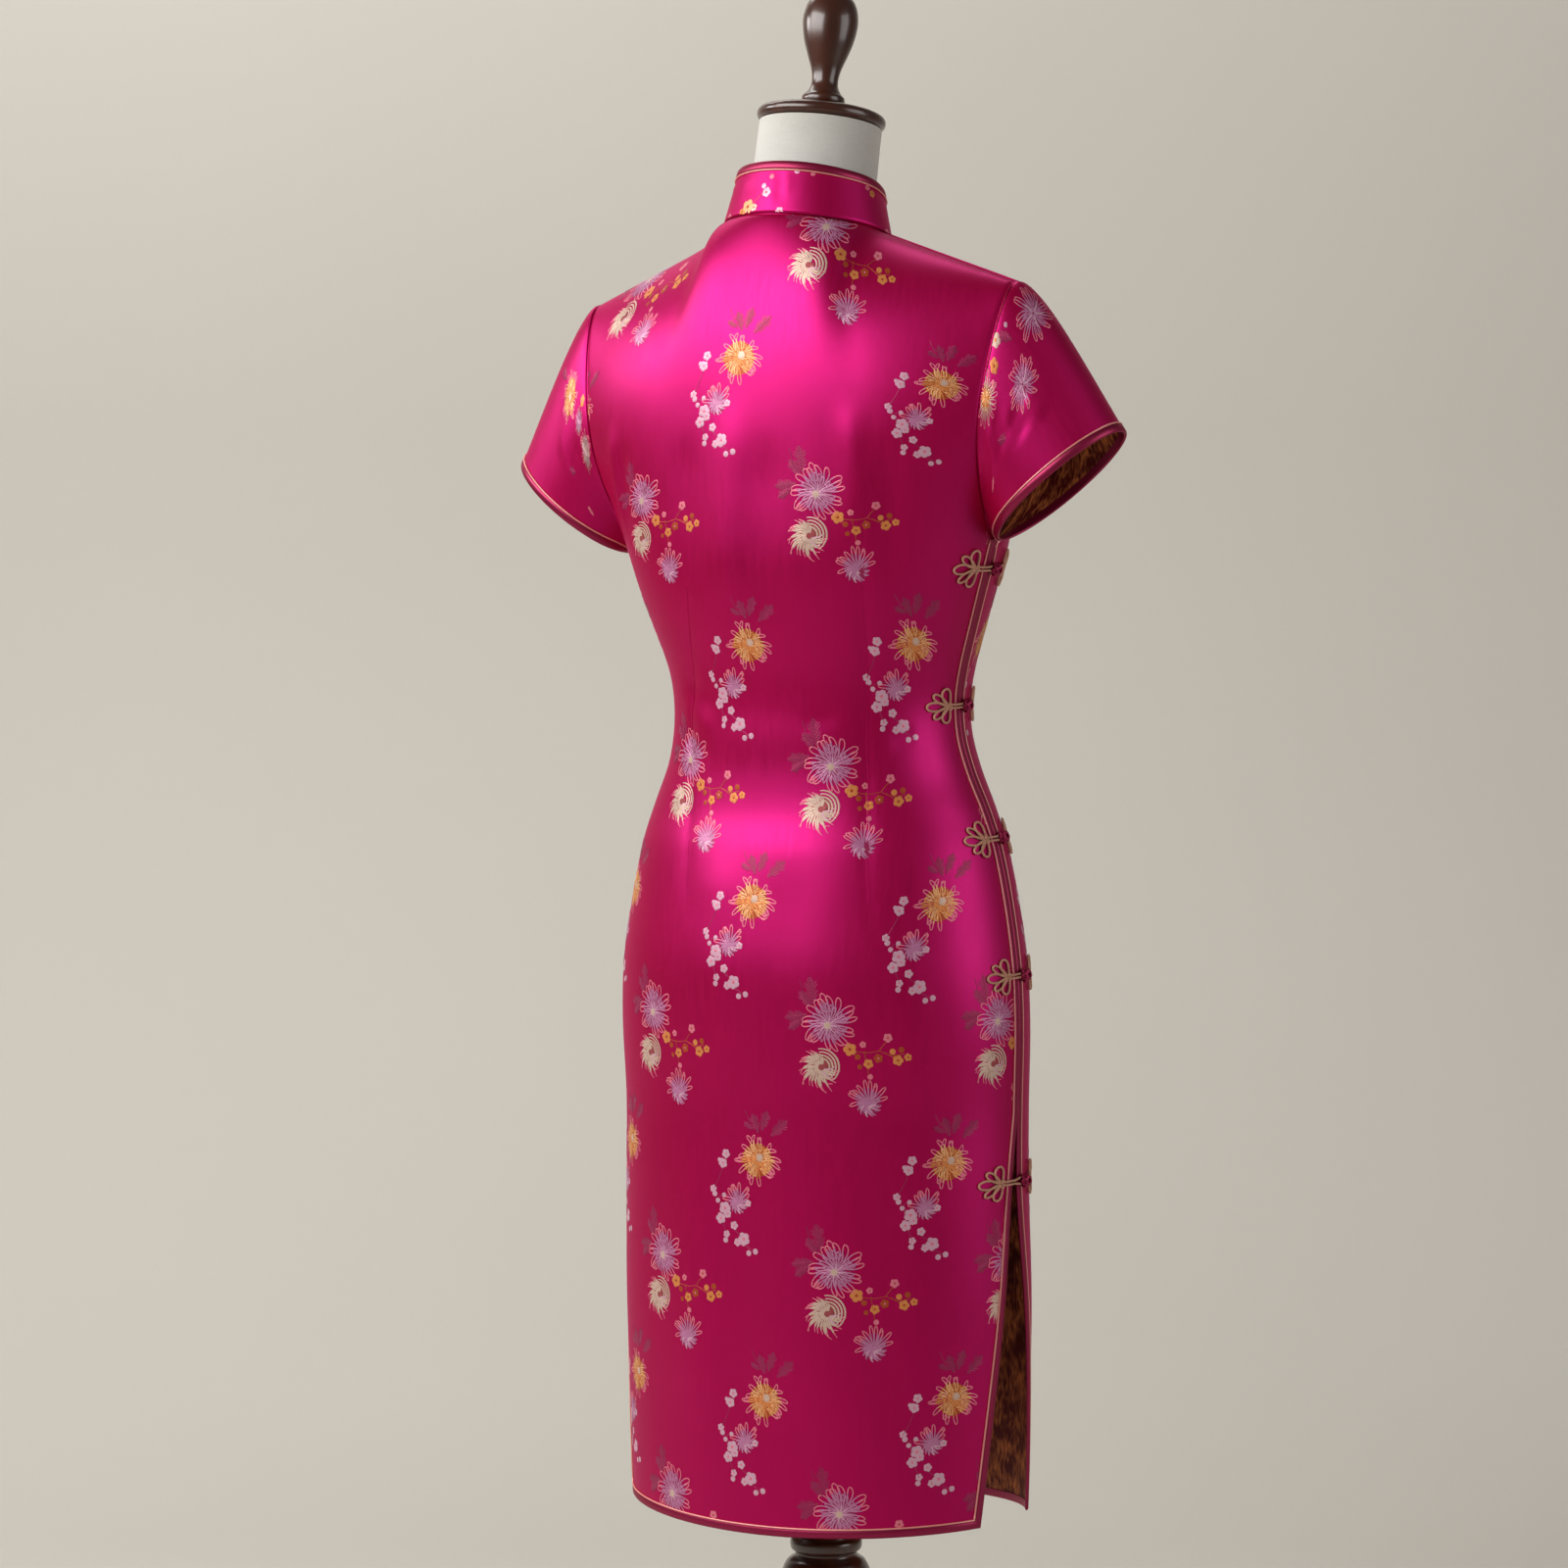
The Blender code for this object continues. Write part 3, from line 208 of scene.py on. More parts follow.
UNDERARM = section(UNDERARM_Z)


def lean(point):
    """Lower the left shoulder and lift the right one."""
    x, y, z = point
    outside = math.copysign(max(abs(x) - LEAN_START_X, 0.0), x)
    return (x, y, z - LEAN * outside * float(ramp(z, LEAN_START_Z, UNDERARM_Z)))


def body_point(side, angle, z, inset=0.0):
    """A point below the underarm; angle in degrees from the middle of the back or front."""
    sizes = section(z)
    depth = sizes["back"] if side > 0 else sizes["front"]
    power = 2.0 + (SQUARENESS - 2.0) * float(ramp(z, SQUARE_FROM_Z, UNDERARM_Z))
    sine = math.sin(math.radians(angle))
    across = max(1.0 - abs(sine)**power, 0.0)**(1.0 / power)
    across = math.copysign(across, math.cos(math.radians(angle)))
    x = (sizes["half_width"] - inset) * sine
    y = sizes["middle"] + side * (depth - inset) * across
    return lean((x, y, z))


def hem_height(angle, z):
    """A height on the panels, raised towards the sides near the hem."""
    rise = HEM_SIDE_RISE * math.sin(math.radians(angle))**2
    return z + rise * (1.0 - float(ramp(z, HEM_Z, BACK_SLIT["top"])))


def neck_ring(around, inset=0.0):
    """A point of the neck seam; around in degrees from the middle of the back."""
    cosine = math.cos(math.radians(around))
    rise = NECK_BACK_RISE if cosine > 0 else NECK_FRONT_DROP
    x = (NECK_X - inset) * math.sin(math.radians(around))
    return (x, NECK_Y + (NECK_DEPTH - inset) * cosine, NECK_SIDE_Z + rise * cosine)


def collar_top_ring(around):
    """A point of the collar's top edge; around in degrees from the middle of the back."""
    cosine = math.cos(math.radians(around))
    rise = NECK_BACK_RISE if cosine > 0 else NECK_FRONT_DROP
    depth = COLLAR_TOP_DEPTH if cosine > 0 else COLLAR_TOP_FRONT
    x = COLLAR_TOP_X * math.sin(math.radians(around))
    z = NECK_SIDE_Z + COLLAR_SIDE_RISE + rise * cosine
    return (x, COLLAR_TOP_Y + depth * cosine, z)


def top_line(side, x, inset=0.0, drop=0.0):
    """Depth and height of a panel's top edge: the neck ring, then the shoulder seam."""
    width = NECK_X - inset
    if abs(x) < width:
        around = math.degrees(math.asin(x / width))
        around = around if side > 0 else 180.0 - around
        point = neck_ring(around, inset)
        return point[1], point[2] - drop
    part = (abs(x) - width) / (TIP_X - width)
    return NECK_Y + (TIP_Y - NECK_Y) * part, NECK_SIDE_Z + (TIP_Z - NECK_SIDE_Z) * part - drop


def armhole_x(t):
    """Half width of the panels at a share of the height from underarm to tip."""
    at_underarm = UNDERARM["half_width"]
    return at_underarm + (TIP_X - at_underarm) * t**ARMHOLE_CURVE


def shoulder_roll(side, x):
    """Power and root of the roll towards the shoulder, blended along the seam."""
    middle, neck, tip = (dict(zip(ROLL_COLUMNS, row)) for row in ROLL)
    face = "back" if side > 0 else "front"
    to_neck = float(ramp(abs(x), middle["x"], neck["x"]))
    to_tip = float(ramp(abs(x), neck["x"], tip["x"]))
    values = []
    for key in (face + "_power", face + "_root"):
        inside = middle[key] + (neck[key] - middle[key]) * to_neck
        values.append(inside + (tip[key] - neck[key]) * to_tip)
    return values


def upper_point(side, angle, t, inset=0.0, drop=0.0):
    """A point above the underarm: t is 0 at the underarm's height and 1 at the top edge."""
    reach = ARMHOLE_BACK if side > 0 else ARMHOLE_FRONT
    depth = (UNDERARM["back"] if side > 0 else UNDERARM["front"]) - inset
    scoop = (1.0 - (1.0 - min(t / SCOOP_END, 1.0))**2)**SCOOP_POWER
    edge = min(reach * scoop / depth, EDGE_LIMIT)
    power = SQUARENESS
    x = (armhole_x(t) - inset) * math.sin(math.radians(angle))
    wide = (armhole_x(t) - inset) / (1.0 - edge**power)**(1.0 / power)
    out = max(1.0 - abs(x / wide)**power, 0.0)**(1.0 / power)
    y_out = UNDERARM["middle"] + side * depth * out
    y_top, z_top = top_line(side, x, inset, drop)
    power_in, root_in = shoulder_roll(side, x)
    roll = max(1.0 - t**power_in, 0.0)**root_in
    z = UNDERARM_Z + t * (z_top - UNDERARM_Z)
    return lean((x, y_top + (y_out - y_top) * roll, z))


def arm_rows(count=ARM_ROWS):
    """Shares of the height above the underarm, close together at both ends."""
    return [(1.0 - math.cos(math.pi * k / count)) / 2.0 for k in range(count + 1)]


def panel_rows(count=ARM_ROWS):
    """Shares of the height above the underarm, close together where the panel rolls over."""
    return [math.sin(math.pi / 2.0 * k / count) for k in range(1, count + 1)]


def half_angle(share, t):
    """Column angle from the middle (share 0) to the armhole (share 1)."""
    steps = NECK_STEPS + SHOULDER_STEPS
    corner = math.degrees(math.asin(NECK_X / TIP_X))
    at = share * steps
    if at <= NECK_STEPS:
        x = NECK_X * math.sin(math.pi / 2 * at / NECK_STEPS)
        fitted = math.degrees(math.asin(x / TIP_X))
    else:
        fitted = corner + (90.0 - corner) * (at - NECK_STEPS) / SHOULDER_STEPS
    even = 90.0 * share
    return even + (fitted - even) * float(ramp(t, TOP_FIT_T, 1.0))


def slit_angle(slit, z):
    """Angle of a slit's edge from the middle of its panel, in degrees."""
    if z >= slit["top"]:
        return 90.0
    part = (slit["top"] - z) / (slit["top"] - HEM_Z)
    return 90.0 - slit["open"] * part**slit["power"]


def shares_one_side():
    """Shares of the half width at the columns, close together at the edge."""
    return [i / SIDE_COLUMNS for i in range(SIDE_COLUMNS + 1) if i / SIDE_COLUMNS < 0.96] \
        + list(EDGE_SHARES)


def body_heights():
    """Heights of the rows from the hem to the underarm."""
    count = int(round((UNDERARM_Z - HEM_Z) / BODY_STEP))
    return list(np.linspace(HEM_Z, UNDERARM_Z, count + 1))


def panel_points(side):
    """Rows from the hem to the shoulders; columns from the wearer's right to the left."""
    one = shares_one_side()
    signed = [-s for s in reversed(one)] + one[1:]
    slit = BACK_SLIT if side > 0 else FRONT_SLIT
    rows = []
    for z in body_heights():
        edge = slit_angle(slit, z)
        angles = [edge * s for s in signed]
        rows.append([body_point(side, a, hem_height(a, z)) for a in angles])
    for t in panel_rows():
        if side > 0:
            angles = [math.copysign(half_angle(abs(s), t), s) for s in signed]
        else:
            left = -90.0 * (1.0 - t)**LAPEL_POWER
            angles = [left + (90.0 - left) * half_angle((s + 1.0) / 2.0, t) / 90.0
                      for s in signed]
        rows.append([upper_point(side, a, t) for a in angles])
    return np.array(rows)


def underlap_points(columns=56):
    """The right front shoulder piece, and how deep each point lies under the lapel."""
    corner = math.degrees(math.asin(NECK_X / TIP_X))
    rows = []
    for t in arm_rows(ARM_ROWS)[4:]:
        inner = -90.0 * (1.0 - t)**LAPEL_POWER
        end = inner + UNDERLAP_REACH * (1.0 - UNDERLAP_SHORTER * t)
        fit = float(ramp(t, UNDERLAP_UP_TO_T, 1.0))
        row = []
        for i in range(columns + 1):
            share = i / columns
            even = -90.0 + (end + 90.0) * share
            if share <= 0.5:
                top = -90.0 + (90.0 - corner) * share * 2.0
            else:
                around = math.pi / 2 * (2.0 - share * 2.0)
                reach = math.degrees(math.asin(NECK_X * math.sin(around) / TIP_X))
                top = -reach + end * (1.0 - reach / corner)
            angle = even + (top - even) * fit
            clear = (inner - angle) / (UNDERLAP_EASE - UNDERLAP_EASE_SHORTER * t)
            up = float(ramp(clear, UNDERLAP_EASE_FROM, 1.0))
            under = 1.0 - up * float(ramp(t, UNDERLAP_UP_FROM_T, UNDERLAP_UP_TO_T))
            row.append(tuple(upper_point(-1, angle, t)) + (under,))
        rows.append(row)
    return np.array(rows)


def sleeve_points(hand, count=44, rings=34):
    """Rings from the armhole to the hem of a sleeve."""
    ts = arm_rows(count)
    loop = [upper_point(1, 90.0 * hand, t) for t in ts]
    loop += [upper_point(-1, 90.0 * hand, t) for t in reversed(ts[1:-1])]
    middle = (SLEEVE_OUT + SLEEVE_IN) / 2.0
    along = (SLEEVE_OUT - SLEEVE_IN) / 2.0
    hem = []
    for i in range(len(loop)):
        turn = 2.0 * math.pi * i / len(loop)
        point = middle - along * math.cos(turn)
        point = point + np.array((0.0, SLEEVE_HALF_DEPTH, 0.0)) * math.sin(turn)
        hem.append(lean((point[0] * hand, point[1], point[2])))
    start, end = np.array(loop), np.array(hem)
    length = np.linalg.norm(end - start, axis=1, keepdims=True)
    start = start + (end - start) / length * EDGE_CLEAR
    cap = (1.0 - np.cos(2.0 * np.pi * np.arange(len(loop)) / len(loop))) / 2.0
    rows = []
    for k in range(rings + 1):
        share = k / rings
        at = share**1.15
        ring = start + (end - start) * at
        swell = math.sin(math.pi * math.sqrt(at)) * cap
        ring[:, 0] += hand * swell * SLEEVE_BULGE[0]
        ring[:, 2] += swell * SLEEVE_BULGE[1]
        rows.append(ring)
    return np.array(rows)


def collar_points(columns=150, rows=14):
    """Rows from the neck seam to the top edge; columns from the front right round."""
    grid = []
    for k in range(rows + 1):
        row = []
        for i in range(columns + 1):
            around = -COLLAR_END + 2.0 * COLLAR_END * i / columns
            low = np.array(lean(neck_ring(around))) + np.array((0.0, 0.0, EDGE_CLEAR))
            high = np.array(lean(collar_top_ring(around)))
            corner = float(ramp(abs(around), COLLAR_END - COLLAR_ROUNDING, COLLAR_END))
            high = low + (high - low) * (1.0 - COLLAR_ROUND_DROP * corner**2)
            row.append(low + (high - low) * k / rows)
        grid.append(row)
    return np.array(grid)


# Meshes

def normals(grid, outward, wrap=False):
    """Unit normals of a grid of points, on the side that outward points to."""
    if wrap:
        padded = np.concatenate([grid[:, -1:], grid, grid[:, :1]], axis=1)
        along = (padded[:, 2:] - padded[:, :-2]) / 2.0
    else:
        along = np.gradient(grid, axis=1)
    cross = np.cross(along, np.gradient(grid, axis=0))
    unit = cross / np.maximum(np.linalg.norm(cross, axis=2, keepdims=True), 1e-12)
    return unit if np.sum(unit * outward(grid), axis=2).mean() > 0 else -unit


def away_from(side):
    """The way out of a panel: towards the front or the back everywhere."""
    return lambda grid: np.broadcast_to(np.array((0.0, side, 0.0)), grid.shape)


class Cloth:
    """The outer face of a cloth piece, with lengths across it and up it in metres."""

    def __init__(self, grid, outward, wrap=False, zero_x=True):
        self.grid = grid
        self.wrap = wrap
        self.unit = normals(grid, outward, wrap)
        steps = np.linalg.norm(np.diff(grid, axis=1), axis=2)
        across = np.concatenate([np.zeros((len(grid), 1)), np.cumsum(steps, axis=1)], axis=1)
        if zero_x:
            middle = [np.interp(0.0, row[:, 0], cut) for row, cut in zip(grid, across)]
        else:
            middle = across[:, across.shape[1] // 2]
        self.across = across - np.array(middle)[:, None]
        mid = grid.shape[1] // 2
        climb = np.linalg.norm(np.diff(grid[:, mid], axis=0), axis=1)
        self.up = np.concatenate([[0.0], np.cumsum(climb)])

    def edge_distance(self, edges):
        """Distance of every point to the nearest of the named edges."""
        far = np.full(self.across.shape, 1.0)
        if "first" in edges:
            far = np.minimum(far, self.across - self.across[:, :1])
        if "last" in edges:
            far = np.minimum(far, self.across[:, -1:] - self.across)
        if "top" in edges:
            far = np.minimum(far, (self.up[-1] - self.up)[:, None])
        if "bottom" in edges:
            far = np.minimum(far, self.up[:, None])
        return far

    def lookup(self, s, h):
        """Points and normals at lengths s across and h up; outside the cloth they are nan."""
        levels = np.arange(self.across.min(), self.across.max() + 0.002, 0.002)
        if not hasattr(self, "table"):
            self.table = np.full((len(self.grid), len(levels), 6), np.nan)
            for r, (cut, row, unit) in enumerate(zip(self.across, self.grid, self.unit)):
                inside = (levels >= cut[0]) & (levels <= cut[-1])
                for k in range(3):
                    self.table[r, inside, k] = np.interp(levels[inside], cut, row[:, k])
                    self.table[r, inside, k + 3] = np.interp(levels[inside], cut, unit[:, k])
        rows = np.interp(h, self.up, np.arange(len(self.up)), left=np.nan, right=np.nan)
        cols = (s - levels[0]) / 0.002
        bad = np.isnan(rows) | (cols < 0) | (cols >= len(levels) - 1)
        r = np.clip(np.nan_to_num(rows), 0, len(self.up) - 1.001)
        c = np.clip(cols, 0, len(levels) - 1.001)
        r0, c0 = r.astype(int), c.astype(int)
        fr, fc = (r - r0)[:, None], (c - c0)[:, None]
        low = self.table[r0, c0] * (1 - fc) + self.table[r0, c0 + 1] * fc
        high = self.table[r0 + 1, c0] * (1 - fc) + self.table[r0 + 1, c0 + 1] * fc
        out = low * (1 - fr) + high * fr
        out[bad] = np.nan
        return out[:, :3], out[:, 3:]


def add_mesh(name, points, faces, materials, indices=None, uv=None, smooth=True):
    """A mesh object with its materials, its smooth shading and, if given, its UVs."""
    mesh = bpy.data.meshes.new(name)
    mesh.from_pydata([tuple(p) for p in points], [], faces)
    for material in materials:
        mesh.materials.append(material)
    if indices is not None:
        mesh.polygons.foreach_set("material_index", indices)
    if smooth:
        mesh.shade_smooth()
    if uv is not None:
        layer = mesh.uv_layers.new(name="cloth")
        loops = np.empty(len(mesh.loops), dtype=np.int32)
        mesh.loops.foreach_get("vertex_index", loops)
        layer.data.foreach_set("uv", np.asarray(uv, dtype=np.float32)[loops].ravel())
    mesh.validate()
    made = bpy.data.objects.new(name, mesh)
    bpy.context.scene.collection.objects.link(made)
    return made


def shell(name, cloth, outer_lift, wall, materials):
    """A closed thin wall: the outer face lifted by a field, the inner face a wall below."""
    rows, columns = cloth.across.shape
    outer = cloth.grid + cloth.unit * outer_lift[:, :, None]
    inner = cloth.grid + cloth.unit * (np.minimum(outer_lift, 0.0) - wall)[:, :, None]
    points = np.concatenate([outer.reshape(-1, 3), inner.reshape(-1, 3)])
    count = rows * columns
    uv = np.stack([cloth.across, np.broadcast_to(cloth.up[:, None], cloth.across.shape)], axis=2)
    uv = np.concatenate([uv.reshape(-1, 2), uv.reshape(-1, 2)])
    faces, indices = [], []
    spans = columns if cloth.wrap else columns - 1
    for r in range(rows - 1):
        for c in range(spans):
            d = (c + 1) % columns
            a, b = r * columns + c, r * columns + d
            e, f = (r + 1) * columns + d, (r + 1) * columns + c
            faces.append((a, b, e, f))
            indices.append(0)
            faces.append((count + a, count + f, count + e, count + b))
            indices.append(1)
    rim = [(c, (c + 1) % columns) for c in range(spans)]
    rim += [((rows - 1) * columns + (c + 1) % columns, (rows - 1) * columns + c)
            for c in range(spans)]
    if not cloth.wrap:
        rim += [((r + 1) * columns, r * columns) for r in range(rows - 1)]
        rim += [(r * columns + columns - 1, (r + 1) * columns + columns - 1)
                for r in range(rows - 1)]
    for a, b in rim:
        faces.append((b, a, count + a, count + b))
        indices.append(0)
    a, b, c = (np.array(points[i]) for i in faces[0][:3])
    if np.dot(np.cross(b - a, c - a), cloth.unit[0, 0]) < 0:
        faces = [tuple(reversed(face)) for face in faces]
    return add_mesh(name, points, faces, materials, indices, uv)


def tube(path, unit, radius, sides=8, closed=False, flat=1.0):
    """Points and faces of a round cord along a path; unit gives the cloth's normals."""
    path, unit = np.array(path), np.array(unit)
    if closed:
        ahead, behind = np.roll(path, -1, axis=0), np.roll(path, 1, axis=0)
        along = ahead - behind
    else:
        along = np.gradient(path, axis=0)
    along /= np.maximum(np.linalg.norm(along, axis=1, keepdims=True), 1e-12)
    aside = np.cross(along, unit)
    aside /= np.maximum(np.linalg.norm(aside, axis=1, keepdims=True), 1e-12)
    lift = np.cross(aside, along)
    turns = 2.0 * np.pi * np.arange(sides) / sides
    radius = np.broadcast_to(np.asarray(radius, dtype=float), (len(path),))
    points = (path[:, None] + aside[:, None] * (np.cos(turns)[None, :, None] * radius[:, None, None])
              + lift[:, None] * (np.sin(turns)[None, :, None] * radius[:, None, None] * flat))
    faces = []
    count = len(path)
    for i in range(count if closed else count - 1):
        j = (i + 1) % count
        for k in range(sides):
            m = (k + 1) % sides
            faces.append((i * sides + k, j * sides + k, j * sides + m, i * sides + m))
    if not closed:
        faces.append(tuple(range(sides)))
        faces.append(tuple((count - 1) * sides + k for k in reversed(range(sides))))
    return points.reshape(-1, 3), faces


def join(parts):
    """One list of points and faces from several."""
    points, faces, start = [], [], 0
    for some, loops in parts:
        points.append(some)
        faces += [tuple(i + start for i in loop) for loop in loops]
        start += len(some)
    return np.concatenate(points), faces


def turned(name, profile, material, sides=96, smooth_steps=5):
    """A turned solid whose profile of (radius, height) is smoothed through its points."""
    rows = np.array(profile)
    fine = []
    for i in range(len(rows) - 1):
        p0, p1 = rows[max(i - 1, 0)], rows[i]
        p2, p3 = rows[i + 1], rows[min(i + 2, len(rows) - 1)]
        for k in range(smooth_steps):
            t = k / smooth_steps
            fine.append(0.5 * ((2 * p1) + (p2 - p0) * t + (2 * p0 - 5 * p1 + 4 * p2 - p3) * t * t
                               + (3 * p1 - p0 - 3 * p2 + p3) * t**3))
    fine.append(rows[-1])
    points = [(0.0, 0.0, rows[0][1])]
    for r, z in fine:
        points += [(r * math.cos(2 * math.pi * k / sides), r * math.sin(2 * math.pi * k / sides), z)
                   for k in range(sides)]
    points.append((0.0, 0.0, rows[-1][1]))
    faces = [(0, 1 + (k + 1) % sides, 1 + k) for k in range(sides)]
    for i in range(len(fine) - 1):
        a, b = 1 + i * sides, 1 + (i + 1) * sides
        faces += [(a + k, a + (k + 1) % sides, b + (k + 1) % sides, b + k) for k in range(sides)]
    top = 1 + (len(fine) - 1) * sides
    faces += [(top + k, top + (k + 1) % sides, len(points) - 1) for k in range(sides)]
    return add_mesh(name, points, faces, [material])


# Materials

def new_material(name):
    """A material with its nodes, its links and its shader."""
    made = bpy.data.materials.new(name)
    made.use_nodes = True
    return made, made.node_tree.nodes, made.node_tree.links, made.node_tree.nodes["Principled BSDF"]


def feed(links, value, socket):
    """Give a socket another node's output, or a constant."""
    if hasattr(value, "links"):
        links.new(value, socket)
    else:
        socket.default_value = value


def mix_colours(nodes, links, fac, low, high):
    """A blend of two colours, each a constant or an output."""
    mix = nodes.new("ShaderNodeMix")
    mix.data_type = "RGBA"
    for socket, value in ((mix.inputs[0], fac), (mix.inputs[6], low), (mix.inputs[7], high)):
        feed(links, value, socket)
    return mix.outputs[2]


def maths(nodes, links, kind, first, second=0.0):
    """A sum or product of two values, each a constant or an output."""
    node = nodes.new("ShaderNodeMath")
    node.operation = kind
    for socket, value in ((node.inputs[0], first), (node.inputs[1], second)):
        feed(links, value, socket)
    return node.outputs[0]


def noise(nodes, links, vector, scale, detail=2.0, stretch=None):
    """The value of a noise over a vector, stretched where a stretch is given."""
    if stretch:
        mapping = nodes.new("ShaderNodeMapping")
        mapping.inputs["Scale"].default_value = stretch
        links.new(vector, mapping.inputs["Vector"])
        vector = mapping.outputs["Vector"]
    node = nodes.new("ShaderNodeTexNoise")
    node.inputs["Scale"].default_value = scale
    node.inputs["Detail"].default_value = detail
    links.new(vector, node.inputs["Vector"])
    return node.outputs["Fac"]


def bump(nodes, links, height, strength, distance, shader):
    """A bump of a height on the shader."""
    node = nodes.new("ShaderNodeBump")
    node.inputs["Strength"].default_value = strength
    node.inputs["Distance"].default_value = distance
    links.new(height, node.inputs["Height"])
    links.new(node.outputs["Normal"], shader.inputs["Normal"])
    return node


SATIN = (0.40, 0.0002, 0.028, 1.0)
SATIN_DEEP = (0.325, 0.0001, 0.019, 1.0)
SATIN_SHEEN = (1.0, 0.055, 0.60, 1.0)
BINDING = (0.19, 0.0020, 0.030, 1.0)
BINDING_DEEP = (0.13, 0.0015, 0.016, 1.0)
BINDING_SHEEN = (1.0, 0.14, 0.34, 1.0)
PIPING = (0.84, 0.28, 0.25, 1.0)
PIPING_DEEP = (0.66, 0.18, 0.16, 1.0)
PIPING_SHEEN = (1.0, 0.80, 0.76, 1.0)
REVERSE_DARK = (0.10, 0.002, 0.003, 1.0)
REVERSE_GOLD = (0.80, 0.24, 0.07, 1.0)
CORD_GOLD = (0.70, 0.35, 0.23, 1.0)


def weave(nodes, links, uv, pitch):
    """A fine satin weave: long warp floats crossed by weft, from the cloth's own lengths."""
    mapping = nodes.new("ShaderNodeMapping")
    mapping.inputs["Scale"].default_value = (1.0 / pitch, 0.28 / pitch, 1.0)
    links.new(uv, mapping.inputs["Vector"])
    brick = nodes.new("ShaderNodeTexBrick")
    brick.offset = 0.4
    brick.offset_frequency = 2
    brick.inputs["Scale"].default_value = 1.0
    brick.inputs["Mortar Size"].default_value = 0.08
    brick.inputs["Mortar Smooth"].default_value = 1.0
    brick.inputs["Brick Width"].default_value = 1.0
    brick.inputs["Row Height"].default_value = 1.0
    links.new(mapping.outputs["Vector"], brick.inputs["Vector"])
    return brick.outputs["Fac"]


def satin_material(name, light, deep, tint, roughness, metallic, weave_pitch):
    """Satin of a warm sheen, with slow changes of tone, fine streaks and a weave."""
    made, nodes, links, shader = new_material(name)
    coordinates = nodes.new("ShaderNodeTexCoord")
    uv = coordinates.outputs["UV"]
    place = coordinates.outputs["Object"]
    slow = noise(nodes, links, place, 9.0, 3.0)
    streak = noise(nodes, links, uv, 260.0, 2.0, (1.0, 0.12, 1.0))
    blend = maths(nodes, links, "MULTIPLY_ADD", streak, 0.55)
    links.new(slow, blend.node.inputs[2])
    tone = maths(nodes, links, "SUBTRACT", blend, 0.30)
    colour = mix_colours(nodes, links, tone, deep, light)
    links.new(colour, shader.inputs["Base Color"])
    rough = nodes.new("ShaderNodeMapRange")
    rough.inputs["To Min"].default_value = roughness - 0.04
    rough.inputs["To Max"].default_value = roughness + 0.06
    links.new(streak, rough.inputs["Value"])
    links.new(rough.outputs["Result"], shader.inputs["Roughness"])
    shader.inputs["Metallic"].default_value = metallic
    shader.inputs["IOR"].default_value = 2.3
    shader.inputs["Specular IOR Level"].default_value = 0.75
    shader.inputs["Specular Tint"].default_value = tint
    shader.inputs["Anisotropic"].default_value = 0.3
    fine = weave(nodes, links, uv, weave_pitch)
    height = maths(nodes, links, "MULTIPLY_ADD", fine, -0.5)
    links.new(streak, height.node.inputs[2])
    bump(nodes, links, height, 0.2, 0.0001, shader)
    return made


def reverse_material():
    """The wrong side of the brocade: loose gold and brown floats over a dark ground."""
    made, nodes, links, shader = new_material("brocade_reverse")
    uv = nodes.new("ShaderNodeTexCoord").outputs["UV"]
    floats = noise(nodes, links, uv, 330.0, 3.0, (1.0, 0.30, 1.0))
    patches = noise(nodes, links, uv, 42.0, 4.0)
    lit = maths(nodes, links, "MULTIPLY", floats, patches)
    ramp_node = nodes.new("ShaderNodeValToRGB")
    ramp_node.color_ramp.elements[0].position = 0.20
    ramp_node.color_ramp.elements[0].color = REVERSE_DARK
    ramp_node.color_ramp.elements[1].position = 0.42
    ramp_node.color_ramp.elements[1].color = REVERSE_GOLD
    links.new(lit, ramp_node.inputs["Fac"])
    links.new(ramp_node.outputs["Color"], shader.inputs["Base Color"])
    shader.inputs["Roughness"].default_value = 0.62
    shader.inputs["Specular IOR Level"].default_value = 0.2
    bump(nodes, links, floats, 0.35, 0.0003, shader)
    return made


def cord_material(name, colour, roughness, metallic, pitch=900.0):
    """Cord with a diagonal twist."""
    made, nodes, links, shader = new_material(name)
    place = nodes.new("ShaderNodeTexCoord").outputs["Object"]
    wave = nodes.new("ShaderNodeTexWave")
    wave.wave_type = "BANDS"
    wave.bands_direction = "DIAGONAL"
    wave.inputs["Scale"].default_value = pitch
    wave.inputs["Distortion"].default_value = 0.6
    links.new(place, wave.inputs["Vector"])
    dull = tuple(c * 0.62 for c in colour[:3]) + (1.0,)
    shade = mix_colours(nodes, links, wave.outputs["Fac"], dull, colour)
    links.new(shade, shader.inputs["Base Color"])
    shader.inputs["Roughness"].default_value = roughness
    shader.inputs["Metallic"].default_value = metallic
    bump(nodes, links, wave.outputs["Fac"], 0.5, 0.0003, shader)
    return made


def thread_material(name, colour, roughness=0.40, metallic=0.35):
    """Raised thread of the brocade with a fine grain."""
    made, nodes, links, shader = new_material(name)
    place = nodes.new("ShaderNodeTexCoord").outputs["Object"]
    grain = noise(nodes, links, place, 1400.0, 1.0)
    dark = tuple(c * 0.70 for c in colour[:3]) + (1.0,)
    shade = mix_colours(nodes, links, grain, dark, colour)
    links.new(shade, shader.inputs["Base Color"])
    shader.inputs["Roughness"].default_value = roughness
    shader.inputs["Metallic"].default_value = metallic
    shader.inputs["Specular IOR Level"].default_value = 0.3
    bump(nodes, links, grain, 0.3, 0.0001, shader)
    return made


